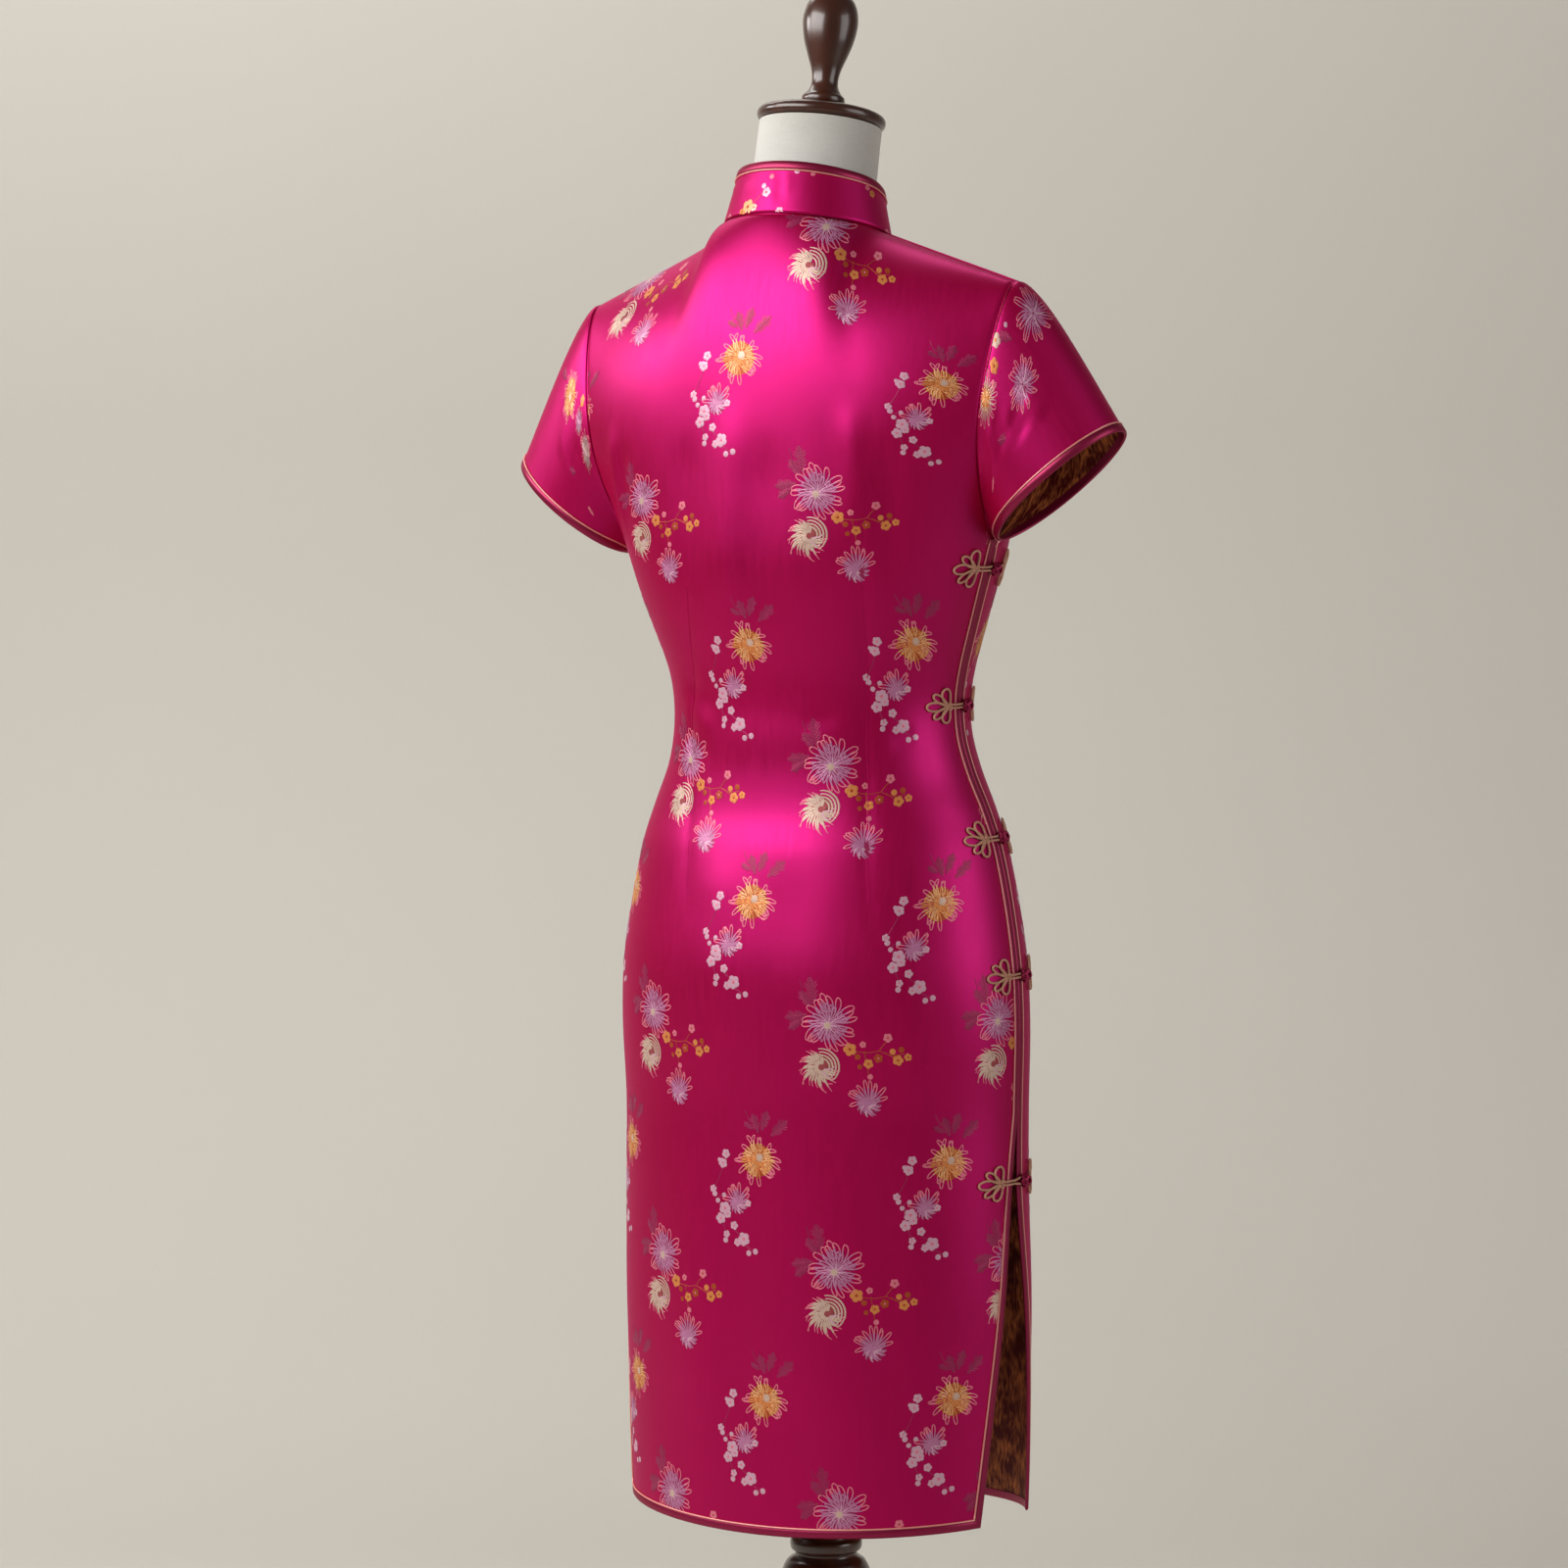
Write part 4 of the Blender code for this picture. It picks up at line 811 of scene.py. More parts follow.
def form_cloth_material():
    """The cream cloth of the form, with its warp and weft."""
    made, nodes, links, shader = new_material("form_cloth")
    place = nodes.new("ShaderNodeTexCoord").outputs["Object"]
    warp = noise(nodes, links, place, 700.0, 2.0, (1.0, 1.0, 0.15))
    weft = noise(nodes, links, place, 700.0, 2.0, (0.15, 0.15, 1.0))
    slow = noise(nodes, links, place, 14.0, 3.0)
    both = maths(nodes, links, "ADD", warp, weft)
    tone = maths(nodes, links, "MULTIPLY_ADD", both, 0.35)
    links.new(slow, tone.node.inputs[2])
    colour = mix_colours(nodes, links, maths(nodes, links, "SUBTRACT", tone, 0.35),
                         (0.47, 0.445, 0.395, 1.0), (0.64, 0.63, 0.60, 1.0))
    links.new(colour, shader.inputs["Base Color"])
    shader.inputs["Roughness"].default_value = 0.88
    shader.inputs["Sheen Weight"].default_value = 0.25
    bump(nodes, links, both, 0.3, 0.0004, shader)
    return made


def wood_material():
    """Dark lacquered wood with an upright grain."""
    made, nodes, links, shader = new_material("dark_wood")
    place = nodes.new("ShaderNodeTexCoord").outputs["Object"]
    grain = noise(nodes, links, place, 60.0, 6.0, (1.0, 1.0, 0.10))
    pores = noise(nodes, links, place, 900.0, 2.0, (1.0, 1.0, 0.04))
    mixed = maths(nodes, links, "MULTIPLY_ADD", pores, 0.35)
    links.new(grain, mixed.node.inputs[2])
    colour = mix_colours(nodes, links, maths(nodes, links, "SUBTRACT", mixed, 0.22),
                         (0.018, 0.0045, 0.0015, 1.0), (0.085, 0.020, 0.008, 1.0))
    links.new(colour, shader.inputs["Base Color"])
    shader.inputs["Roughness"].default_value = 0.30
    shader.inputs["Coat Weight"].default_value = 0.55
    shader.inputs["Coat Roughness"].default_value = 0.16
    bump(nodes, links, mixed, 0.12, 0.0003, shader)
    return made


satin = satin_material("satin_brocade", SATIN, SATIN_DEEP, SATIN_SHEEN, 0.39, 0.35, 0.0009)
binding_satin = satin_material("binding_satin", BINDING, BINDING_DEEP, BINDING_SHEEN, 0.36,
                               0.3, 0.0007)
piping_satin = satin_material("piping_satin", PIPING, PIPING_DEEP, PIPING_SHEEN, 0.38,
                              0.2, 0.0006)
reverse = reverse_material()
gold_cord = cord_material("gold_cord", CORD_GOLD, 0.42, 0.1)
form_cloth = form_cloth_material()
wood = wood_material()
PIECES = []


def piece(made, slot, *nodes):
    """Ride a piece on the one body and hide the solids it stands for; its slot is not used."""
    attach(made, "root")
    if nodes:
        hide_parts(*nodes)
    PIECES.append(made)
    return made


# Cloth pieces

ROLL_IN = 0.0007
ROLL_WIDTH = 0.0018


def crease(cloth, start, end, width, depth):
    """A soft fold along a line of (across, up) lengths, fading out at both ends."""
    s, h = cloth.across, np.broadcast_to(cloth.up[:, None], cloth.across.shape)
    along = np.array(end) - np.array(start)
    length = float(np.hypot(*along))
    t = ((s - start[0]) * along[0] + (h - start[1]) * along[1]) / length**2
    off = ((s - start[0]) * along[1] - (h - start[1]) * along[0]) / length
    fade = ramp(t, 0.0, 0.3) * (1.0 - ramp(t, 0.7, 1.0))
    return depth * fade * np.exp(-(off / width)**2)


def from_own_axis(grid):
    """The way out from the middle of each row."""
    return grid - grid.mean(axis=1, keepdims=True)


def from_neck_axis(grid):
    """The way out from the upright axis of the neck."""
    return (grid - np.array((0.0, NECK_Y, 0.0))) * np.array((1.0, 1.0, 0.0))


FAIR_STEPS = 700
FAIR_RATE = 0.03
FAIR_FROM_Z = 1.05
FAIR_FULL_Z = 1.12


def faired(grid, share):
    """Even out the bending of a grid between its fixed edges, where share is above 0."""
    grid = grid.copy()
    middle = (slice(1, -1), slice(1, -1))

    def spread(field):
        out = np.zeros(field.shape)
        out[middle] = (field[:-2, 1:-1] + field[2:, 1:-1] + field[1:-1, :-2] + field[1:-1, 2:]
                       - 4.0 * field[middle])
        return out

    for _ in range(FAIR_STEPS):
        grid -= FAIR_RATE * share[:, :, None] * spread(spread(grid))
    return grid


def fair_upper(grid):
    """Fair a panel from a little below the underarm upwards."""
    level = np.broadcast_to(grid[:, grid.shape[1] // 2, 2][:, None], grid.shape[:2])
    share = ramp(level, FAIR_FROM_Z, FAIR_FULL_Z)
    share[:, 0] = share[:, -1] = 0.0
    share[-1] = 0.0
    return faired(grid, share)


back = Cloth(fair_upper(panel_points(1)), away_from(1))
front = Cloth(fair_upper(panel_points(-1)), away_from(-1))
under_rows = underlap_points()
underlap = Cloth(under_rows[:, :, :3], away_from(-1))
underlap.grid = underlap.grid - underlap.unit * under_rows[:, :, 3:] * UNDERLAP_DROP
sleeves = {hand: Cloth(sleeve_points(hand), from_own_axis, wrap=True, zero_x=False)
           for hand in (1, -1)}
collar = Cloth(collar_points(), from_neck_axis)


def rolled(cloth, edges, first_row=0):
    """Seamed edges turn in a little, so that seams read as fine valleys."""
    lift = -ROLL_IN * np.exp(-(cloth.edge_distance(edges) / ROLL_WIDTH)**2)
    lift[:first_row] = 0.0
    return lift


def raise_by(cloth, lift, outward):
    """Press a field of heights into a cloth's outer face."""
    cloth.grid = cloth.grid + cloth.unit * lift[:, :, None]
    cloth.unit = normals(cloth.grid, outward, cloth.wrap)


def surface_tree(grid, wrap=False):
    """A search tree of a grid's faces."""
    rows, columns = grid.shape[:2]
    spans = columns if wrap else columns - 1
    faces = [(r * columns + c, r * columns + (c + 1) % columns,
              (r + 1) * columns + (c + 1) % columns, (r + 1) * columns + c)
             for r in range(rows - 1) for c in range(spans)]
    return BVHTree.FromPolygons([Vector(p) for p in grid.reshape(-1, 3)], faces)


arm_start = len(body_heights()) - 1
raise_by(back, rolled(back, ("first", "last", "top"), arm_start + 1), away_from(1))
raise_by(front, rolled(front, ("last", "top"), arm_start + 1), away_from(-1))

# Folds (mm): across and up at both ends, width, height. Photo left is + across on the back.
BACK_FOLDS = (
    (152, 930, 151, 800, 7.0, 2.6), (138, 905, 140, 830, 9.0, -1.9),
    (15, 930, 24, 740, 15.0, 2.1), (-16, 900, -8, 720, 18.0, -1.9), (58, 900, 60, 760, 15.0, -1.4),
    (-88, 930, -92, 800, 11.0, 2.0), (-120, 900, -118, 760, 12.0, -1.9),
    (96, 690, 40, 668, 8.0, -1.1), (100, 668, 46, 648, 7.0, 0.9), (102, 648, 50, 626, 8.0, -0.9),
    (-70, 668, -30, 655, 8.0, -0.8), (-128, 650, -104, 640, 6.0, -0.9),
    (30, 560, 44, 420, 22.0, 1.4), (-30, 560, -22, 380, 24.0, -1.2),
    (-130, 500, -138, 330, 16.0, 1.2), (60, 330, 66, 60, 28.0, 1.6), (8, 340, 14, 40, 26.0, -1.6),
    (-60, 300, -52, 30, 28.0, 1.5), (-118, 320, -112, 60, 22.0, -1.4),
)
FRONT_FOLDS = (
    (90, 690, 40, 668, 9.0, -1.0), (-90, 690, -40, 668, 9.0, -1.0),
    (60, 330, 66, 60, 28.0, 1.5), (0, 340, 6, 40, 26.0, -1.5), (-66, 310, -60, 40, 28.0, 1.5),
)
SLEEVE_FOLDS = {
    1: ((-60, 20, -88, 90, 9.0, 0.9), (-110, 30, -104, 80, 9.0, -0.9)),
    -1: ((-52, 96, -66, 60, 7.0, 1.2), (-78, 92, -84, 50, 9.0, -1.0),
         (-128, 60, -122, 14, 8.0, 1.1), (-106, 70, -104, 24, 8.0, -0.8)),
}
COLLAR_FOLDS = ((2, 38, 4, 2, 4.5, 0.55), (-5, 38, -5, 8, 3.0, -0.55), (-12, 36, -11, 10, 3.5, 0.4),
                (24, 30, 26, 2, 9.0, -0.4))
# Darts (mm): across and up of their points
BACK_DARTS = (((63, 770), (74, 700), (84, 636), (74, 575), (66, 497)),
              ((-99, 846), (-93, 760), (-86, 642), (-91, 564), (-101, 488)))
DART_WIDTH = 0.0050
DART_DEPTH = 0.0015


def folded(cloth, folds):
    """Lift of all folds of a table on a cloth."""
    lift = np.zeros(cloth.across.shape)
    for s0, h0, s1, h1, width, height in folds:
        lift += crease(cloth, (s0 / 1000.0, h0 / 1000.0), (s1 / 1000.0, h1 / 1000.0),
                       width / 1000.0, height / 1000.0)
    return lift


def dart_line(dart, count=60):
    """A dart's seam as lengths across and up, smooth through its points."""
    spots = np.array(dart, dtype=float) / 1000.0
    ups = np.linspace(spots[0, 1], spots[-1, 1], count)
    across = np.interp(-ups, -spots[:, 1], spots[:, 0])
    for _ in range(12):
        across[1:-1] = (across[:-2] + 2.0 * across[1:-1] + across[2:]) / 4.0
    return across, ups


def darted(cloth, darts):
    """A shallow valley along each dart, which is deepest at the waist."""
    lift = np.zeros(cloth.across.shape)
    for dart in darts:
        across, ups = dart_line(dart)
        at = np.interp(cloth.up, ups[::-1], across[::-1])
        share = (cloth.up - ups[-1]) / (ups[0] - ups[-1])
        depth = np.where((share > 0) & (share < 1),
                         np.sin(np.pi * np.clip(share, 0.0, 1.0))**0.6, 0.0)
        lift -= DART_DEPTH * depth[:, None] * np.exp(-np.abs(cloth.across - at[:, None])
                                                     / DART_WIDTH)
    return lift


def off_edges(cloth, lift, edges):
    """Let a field of heights fade out before the edges that are sewn or bound."""
    return lift * ramp(cloth.edge_distance(edges), 0.009, 0.030)


raise_by(back, off_edges(back, folded(back, BACK_FOLDS) + darted(back, BACK_DARTS),
                         ("first", "last", "top", "bottom")), away_from(1))
raise_by(front, off_edges(front, folded(front, FRONT_FOLDS), ("first", "last", "top", "bottom")),
         away_from(-1))
for hand in (1, -1):
    raise_by(sleeves[hand], off_edges(sleeves[hand], folded(sleeves[hand], SLEEVE_FOLDS[hand]),
                                      ("top", "bottom")), from_own_axis)
raise_by(collar, folded(collar, COLLAR_FOLDS)
         * ramp(collar.edge_distance(("top",)), 0.006, 0.016), from_neck_axis)

SHELL_WALL = 0.0008
made_back = shell("back_panel_cloth", back, np.zeros(back.across.shape), SHELL_WALL, [satin, reverse])
made_front = shell("front_panel_cloth", front, np.zeros(front.across.shape), SHELL_WALL,
                   [satin, reverse])
made_under = shell("underlap_cloth", underlap, np.zeros(underlap.across.shape), SHELL_WALL,
                   [satin, reverse])
made_sleeves = {hand: shell(f"sleeve_{word}_cloth", sleeves[hand],
                            np.zeros(sleeves[hand].across.shape), SHELL_WALL, [satin, reverse])
                for hand, word in ((1, "left"), (-1, "right"))}
made_collar = shell("collar_cloth", collar, np.zeros(collar.across.shape), COLLAR_WALL,
                    [satin, binding_satin])


# Bindings and piping

BAND = ((0.0063, 0.0008), (0.0059, 0.0011), (0.0035, 0.0012), (0.0010, 0.0011), (-0.0001, 0.0005),
        (-0.0004, -0.0004), (-0.0001, -0.0014), (0.0010, -0.0017), (0.0063, -0.0015),
        (0.0063, -0.0009), (0.0004, -0.0009), (0.0004, 0.00005), (0.0063, 0.00005))
PIPING_AT = (0.0072, 0.0007)
PIPING_RADIUS = 0.00072
CORNER_CLEAR = 0.0088


def mitred(points, units, closed):
    """Sideways vectors along a path, lengthened at its corners."""
    steps = np.roll(points, -1, axis=0) - points
    steps /= np.maximum(np.linalg.norm(steps, axis=1, keepdims=True), 1e-12)
    after = np.cross(units, steps)
    before = np.cross(units, np.roll(steps, 1, axis=0))
    if not closed:
        after[-1] = before[-1]
        before[0] = after[0]
    meet = np.sum(after * before, axis=1, keepdims=True)
    return (after + before) / np.maximum(1.0 + meet, 0.3)


def edge_path(cloth, cells, corners=()):
    """Points and normals of the cells of an edge, clear of its sharp corners."""
    points = np.array([cloth.grid[c] for c in cells])
    units = np.array([cloth.unit[c] for c in cells])
    keep = np.ones(len(points), dtype=bool)
    for corner in corners:
        at = cells.index(corner)
        near = np.linalg.norm(points - points[at], axis=1) < CORNER_CLEAR
        near[at] = False
        keep &= ~near
    return points[keep], units[keep]


def bound_edge(name, cloth, cells, corners=(), closed=False, low_wall=0.0):
    """The satin band folded over an edge and the piping along its inner side."""
    points, units = edge_path(cloth, cells, corners)
    inward = mitred(points, units, closed)
    tree = surface_tree(cloth.grid, cloth.wrap)
    middle = len(points) // 2
    probe = Vector(points[middle] + inward[middle] * 0.006)
    if (tree.find_nearest(probe)[0] - probe).length > 0.002:
        inward = -inward

    def placed(profile):
        rows = []
        for point, unit, side in zip(points, units, inward):
            row = []
            for a, n in profile:
                spot = point + side * a
                if a > 0.0:
                    spot = np.array(tree.find_nearest(Vector(spot))[0])
                row.append(spot + unit * (n if n > -0.0008 else n - low_wall))
            rows.append(row)
        return np.array(rows)

    turns = [2.0 * math.pi * k / 10 for k in range(10)]
    round_profile = [(PIPING_AT[0] + PIPING_RADIUS * math.cos(turn),
                      PIPING_AT[1] + PIPING_RADIUS * math.sin(turn)) for turn in turns]
    band = loft(f"{name}_band", placed(BAND), [binding_satin], closed)
    cord = loft(f"{name}_piping", placed(round_profile), [piping_satin], closed)
    band.data.set_sharp_from_angle(angle=math.radians(60.0))
    return band, cord


def loft(name, rings, materials, closed):
    """A closed solid through rings of points."""
    count, ring = rings.shape[:2]
    faces = []
    for i in range(count if closed else count - 1):
        j = (i + 1) % count
        for k in range(ring):
            m = (k + 1) % ring
            faces.append((i * ring + k, i * ring + m, j * ring + m, j * ring + k))
    if not closed:
        faces.append(tuple(range(ring)))
        faces.append(tuple((count - 1) * ring + k for k in reversed(range(ring))))
    lengths = np.concatenate([[0.0], np.cumsum(np.linalg.norm(np.diff(rings[:, 0], axis=0),
                                                              axis=1))])
    around = np.concatenate([[0.0], np.cumsum(np.linalg.norm(np.diff(rings[0], axis=0), axis=1))])
    uv = np.stack(np.broadcast_arrays(around[None, :], lengths[:, None]), axis=2).reshape(-1, 2)
    made = add_mesh(name, rings.reshape(-1, 3), faces, materials, uv=uv)
    work = bmesh.new()
    work.from_mesh(made.data)
    bmesh.ops.recalc_face_normals(work, faces=work.faces)
    work.to_mesh(made.data)
    work.free()
    return made


def body_rows_below(z):
    """The last row of the panels at or below a height."""
    return max(i for i, height in enumerate(body_heights()) if height <= z + 1e-6)


def hem_and_sides(cloth, slit):
    """Cells from the top of the left slit round the hem and up the right edge."""
    last = cloth.grid.shape[1] - 1
    start = body_rows_below(slit["top"])
    cells = [(r, last) for r in range(start, 0, -1)]
    cells += [(0, c) for c in range(last, -1, -1)]
    cells += [(r, 0) for r in range(1, arm_start + 1)]
    return cells, ((0, last), (0, 0))


back_cells, back_corners = hem_and_sides(back, BACK_SLIT)
front_cells, front_corners = hem_and_sides(front, FRONT_SLIT)
back_trim = bound_edge("back", back, back_cells, back_corners)
front_trim = bound_edge("front", front, front_cells, front_corners)
lapel_cells = [(r, 0) for r in range(arm_start, len(front.grid))]
lapel_trim = bound_edge("lapel", front, lapel_cells)
sleeve_trims = {}
for hand, word in ((1, "left"), (-1, "right")):
    rows, columns = sleeves[hand].across.shape
    cells = [(rows - 1, c) for c in range(columns)]
    sleeve_trims[hand] = bound_edge(f"sleeve_{word}", sleeves[hand], cells, closed=True)
rows, columns = collar.across.shape
cells = [(r, 0) for r in range(1, rows - 1)] + [(rows - 1, c) for c in range(columns)]
cells += [(r, columns - 1) for r in range(rows - 2, 0, -1)]
collar_trim = bound_edge("collar", collar, cells, ((rows - 1, 0), (rows - 1, columns - 1)),
                         low_wall=COLLAR_WALL - SHELL_WALL)


def dart_seams():
    """The darts' stitched edges: a thin fold of satin along each line."""
    parts = []
    for dart in BACK_DARTS:
        across, ups = dart_line(dart, 90)
        points, units = back.lookup(across, ups)
        units /= np.linalg.norm(units, axis=1, keepdims=True)
        taper = 0.35 + 0.65 * np.sin(np.pi * np.linspace(0.0, 1.0, len(ups)))**0.5
        parts.append(tube(points + units * 0.00005, units, 0.00042 * taper, 6, flat=0.5))
    points, faces = join(parts)
    return add_mesh("back_dart_seams", points, faces, [satin])


piece(dart_seams(), "satin")


# Frogs

CORD_RADIUS = 0.00095
CORD_SPAN = 0.0014
STEM_HALF = 0.0013
RAY_REACH = 0.012
LOBES = ((0.0, 0.0225, 0.0070), (29.0, 0.0190, 0.0054), (-29.0, 0.0185, 0.0054),
         (66.0, 0.0150, 0.0090), (-64.0, 0.0142, 0.0084))
KNOT_SIZE = (0.0047, 0.0031)


def surface_frame(where, outward, u, v, step=0.0005):
    """Point and outward normal of a surface given as a function of two lengths."""
    here = np.array(where(u, v))
    du = np.array(where(u + step, v)) - here
    dv = np.array(where(u, v + step)) - here
    unit = np.cross(du, dv)
    unit /= np.linalg.norm(unit)
    return here, unit if unit @ outward(here) > 0 else -unit


def ring_of(radius, count=8):
    """Places round a spot at a radius."""
    steps = [2.0 * math.pi * i / count for i in range(count)]
    return [(radius * math.cos(step), radius * math.sin(step)) for step in steps]


def cloth_height(cloth, where, outward, u, v):
    """How far the cloth stands out from a surface point, along the normal."""
    here, unit = surface_frame(where, outward, u, v)
    start = Vector(here + unit * RAY_REACH)
    hit = cloth.ray_cast(start, Vector(-unit), 2.0 * RAY_REACH)
    return RAY_REACH - hit[3] if hit[0] else -RAY_REACH


def side_surface(z_frog):
    """The right side near the opening, as lengths from the seam (+ to the back) and up."""
    def where(u, v):
        z = z_frog + v
        side = 1 if u > 0 else -1
        sizes = section(z)
        depth = sizes["back"] if side > 0 else sizes["front"]
        edge = slit_angle(BACK_SLIT, z) if side > 0 else 90.0
        return body_point(side, -(edge - math.degrees(abs(u) / depth)), z)
    return where


def chest_surface(u, v):
    """The front above the underarm, as a function of the place seen from the front."""
    _, z_top = top_line(-1, u)
    t = min(max((v - UNDERARM_Z) / (z_top - UNDERARM_Z), 0.0), 1.0)
    angle = math.degrees(math.asin(min(max(u / armhole_x(t), -1.0), 1.0)))
    return upper_point(-1, angle, t)


def collar_surface(u, v):
    """The collar's front, as lengths round from the front middle and up from the seam."""
    around = 180.0 - math.degrees(u / COLLAR_FRONT_RADIUS)
    low = np.array(neck_ring(around))
    high = np.array(collar_top_ring(around))
    return tuple(low + (high - low) * v / np.linalg.norm(high - low))


def lobe(turn, length, width, count=30):
    """A closed teardrop of cord from the junction, leaning by an angle in degrees."""
    steps = [2.0 * math.pi * i / count for i in range(count)]
    path = [(length * math.sin(a / 2)**2, width / 2 * math.sin(a) * math.sin(a / 2) * 1.3)
            for a in steps]
    cosine, sine = math.cos(math.radians(turn)), math.sin(math.radians(turn))
    return [(p * cosine - h * sine, p * sine + h * cosine) for p, h in path]


def laid_cord(cloth, where, outward, start, turn, path, closed, above=0.0, radius=CORD_RADIUS):
    """A cord along a flat path, laid on the cloth: start is the junction, turn its heading."""
    heights, frames = [], []
    for p, h in path:
        u = start[0] + p * math.cos(turn) - h * math.sin(turn)
        v = start[1] + p * math.sin(turn) + h * math.cos(turn)
        frames.append(surface_frame(where, outward, u, v))
        heights.append(max(cloth_height(cloth, where, outward, u + a, v + b)
                           for a, b in [(0.0, 0.0)] + ring_of(CORD_SPAN, 5)))
    heights = np.array(heights)
    wide = np.maximum(np.maximum(np.roll(heights, 1), np.roll(heights, -1)), heights)
    wide = (np.roll(wide, 1) + wide + np.roll(wide, -1)) / 3.0
    lift = np.maximum(wide, heights) + radius + 0.0002 + above
    points = [here + unit * up for (here, unit), up in zip(frames, lift)]
    return tube(points, [unit for _, unit in frames], radius, closed=closed)


def frog_half(name, cloth, where, outward, start, turn, reach, looped):
    """One half of a frog: cord lobes at the junction and twin stems out to the knot."""
    parts = [laid_cord(cloth, where, outward, start, turn, lobe(*shape), True,
                       above=0.0002 * index) for index, shape in enumerate(LOBES)]
    steps = [reach * k / 8 for k in range(9)]
    if looped:
        bend = [(-reach - STEM_HALF * 2.6 * math.sin(a) - 0.0015, STEM_HALF * 2.9 * math.cos(a))
                for a in np.linspace(0.35, math.pi - 0.35, 9)]
        path = [(-s, STEM_HALF) for s in steps[:7]] + bend + [(-s, -STEM_HALF)
                                                              for s in reversed(steps[:7])]
        parts.append(laid_cord(cloth, where, outward, start, turn, path, False, above=0.0006))
    else:
        for sign in (1.0, -1.0):
            path = [(-s, sign * STEM_HALF) for s in steps]
            parts.append(laid_cord(cloth, where, outward, start, turn, path, False,
                                   above=0.0006))
    wrap = [(0.0012 * math.cos(a), 0.0031 * math.sin(a)) for a in np.linspace(0.0, 5.6, 12)]
    parts.append(laid_cord(cloth, where, outward, start, turn, wrap, False, above=0.0016))
    points, faces = join(parts)
    return add_mesh(name, points, faces, [gold_cord])


def knot(name, cloth, where, outward, at):
    """A ball knot: a core under a cord that winds over and under itself."""
    here, unit = surface_frame(where, outward, *at)
    under = max(cloth_height(cloth, where, outward, at[0] + a, at[1] + b)
                for a, b in [(0.0, 0.0)] + ring_of(0.003))
    centre = Vector(here + unit * (under + KNOT_SIZE[1] + 0.0006))
    turn = Vector(unit).to_track_quat("Z", "Y").to_matrix()
    winds, count = [], 120
    for i in range(count):
        a = 2.0 * math.pi * i / count
        tilt = 0.62 * math.pi / 2 * math.sin(4.0 * a * 1.25)
        swing = 3.0 * a
        out = 1.0 + 0.09 * math.sin(8.0 * a)
        winds.append(np.array((math.cos(swing) * math.cos(tilt) * KNOT_SIZE[0] * out,
                               math.sin(swing) * math.cos(tilt) * KNOT_SIZE[0] * out,
                               math.sin(tilt) * KNOT_SIZE[1] * 1.25 * out)))
    spins = np.array([np.array(turn @ Vector(w)) for w in winds])
    points, faces = tube(spins + np.array(centre), spins, 0.00125, 7, closed=True)
    core = bmesh.new()
    bmesh.ops.create_icosphere(core, subdivisions=3, radius=1.0)
    size = Matrix.Diagonal((KNOT_SIZE[0] * 0.93, KNOT_SIZE[0] * 0.93, KNOT_SIZE[1], 1.0))
    bmesh.ops.transform(core, matrix=Matrix.Translation(centre) @ turn.to_4x4() @ size,
                        verts=core.verts)
    ball = (np.array([v.co[:] for v in core.verts]),
            [tuple(v.index for v in face.verts) for face in core.faces])
    core.free()
    points, faces = join([(points, faces), ball])
    return add_mesh(name, points, faces, [binding_satin])


def shown_tree(objects):
    """A search tree of some meshes together."""
    work = bmesh.new()
    for item in objects:
        work.from_mesh(item.data)
    tree = BVHTree.FromBMesh(work)
    work.free()
    return tree


cloth_parts = [made_back, made_front, made_under, made_collar, *back_trim, *front_trim,
               *lapel_trim, *collar_trim]
on_cloth = shown_tree(cloth_parts)
frogs = []


def closure(kind, number, where, outward, spots, turns):
    """A frog closure: its loop half, its base half and the ball knot between them."""
    names = [f"{kind}_{part}{number}" for part in ("loop", "base", "knot")]
    reach = FROG_JUNCTION + KNOT_OFFSET
    loop = frog_half(f"{names[0]}_cord", on_cloth, where, outward, spots[0], turns[0], reach, True)
    base = frog_half(f"{names[1]}_cord", on_cloth, where, outward, spots[1], turns[1], reach, False)
    ball = knot(f"{names[2]}_ball", on_cloth, where, outward, spots[2])
    for made, slot, node in zip((loop, base, ball), ("gold_cord", "gold_cord", "satin"), names):
        frogs.append(piece(made, slot, node))


def from_axis(point):
    """The way out from the garment's upright axis."""
    return point * np.array((1.0, 1.0, 0.0))


def to_front(point):
    """The way to the front, at any point."""
    return np.array((0.0, -1.0, 0.0))


PAST_KNOT = FROG_JUNCTION + 2.0 * KNOT_OFFSET
for number, z in enumerate(SIDE_FROG_Z, 1):
    closure("side_frog", f"_{number}", side_surface(z), from_axis,
            [(FROG_JUNCTION, 0.0), (-PAST_KNOT, 0.0), (-KNOT_OFFSET, 0.0)], (0.0, math.pi))
for number, t in enumerate(LAPEL_FROG_T, 1):
    x, _, z = upper_point(-1, -90.0 * (1.0 - t)**LAPEL_POWER, t)
    before = t - LAPEL_STEP_T
    near, _, near_z = upper_point(-1, -90.0 * (1.0 - before)**LAPEL_POWER, before)
    heading = LAPEL_FROG_TURN * (math.atan2(z - near_z, x - near) - math.pi / 2.0)
    spots = [(x + math.cos(heading) * reach, z + math.sin(heading) * reach)
             for reach in (FROG_JUNCTION, -PAST_KNOT, -KNOT_OFFSET)]
    closure("lapel_frog", f"_{number}", chest_surface, to_front, spots,
            (heading, heading + math.pi))
reach = FROG_JUNCTION + KNOT_OFFSET
closure("collar_frog", "", collar_surface, to_front,
        [(reach, COLLAR_FROG_UP), (-reach, COLLAR_FROG_UP), (0.0, COLLAR_FROG_UP)],
        (0.0, math.pi))


# Dress form and stand

FORM_COLUMNS = 64
FORM_NECK_RINGS = 22


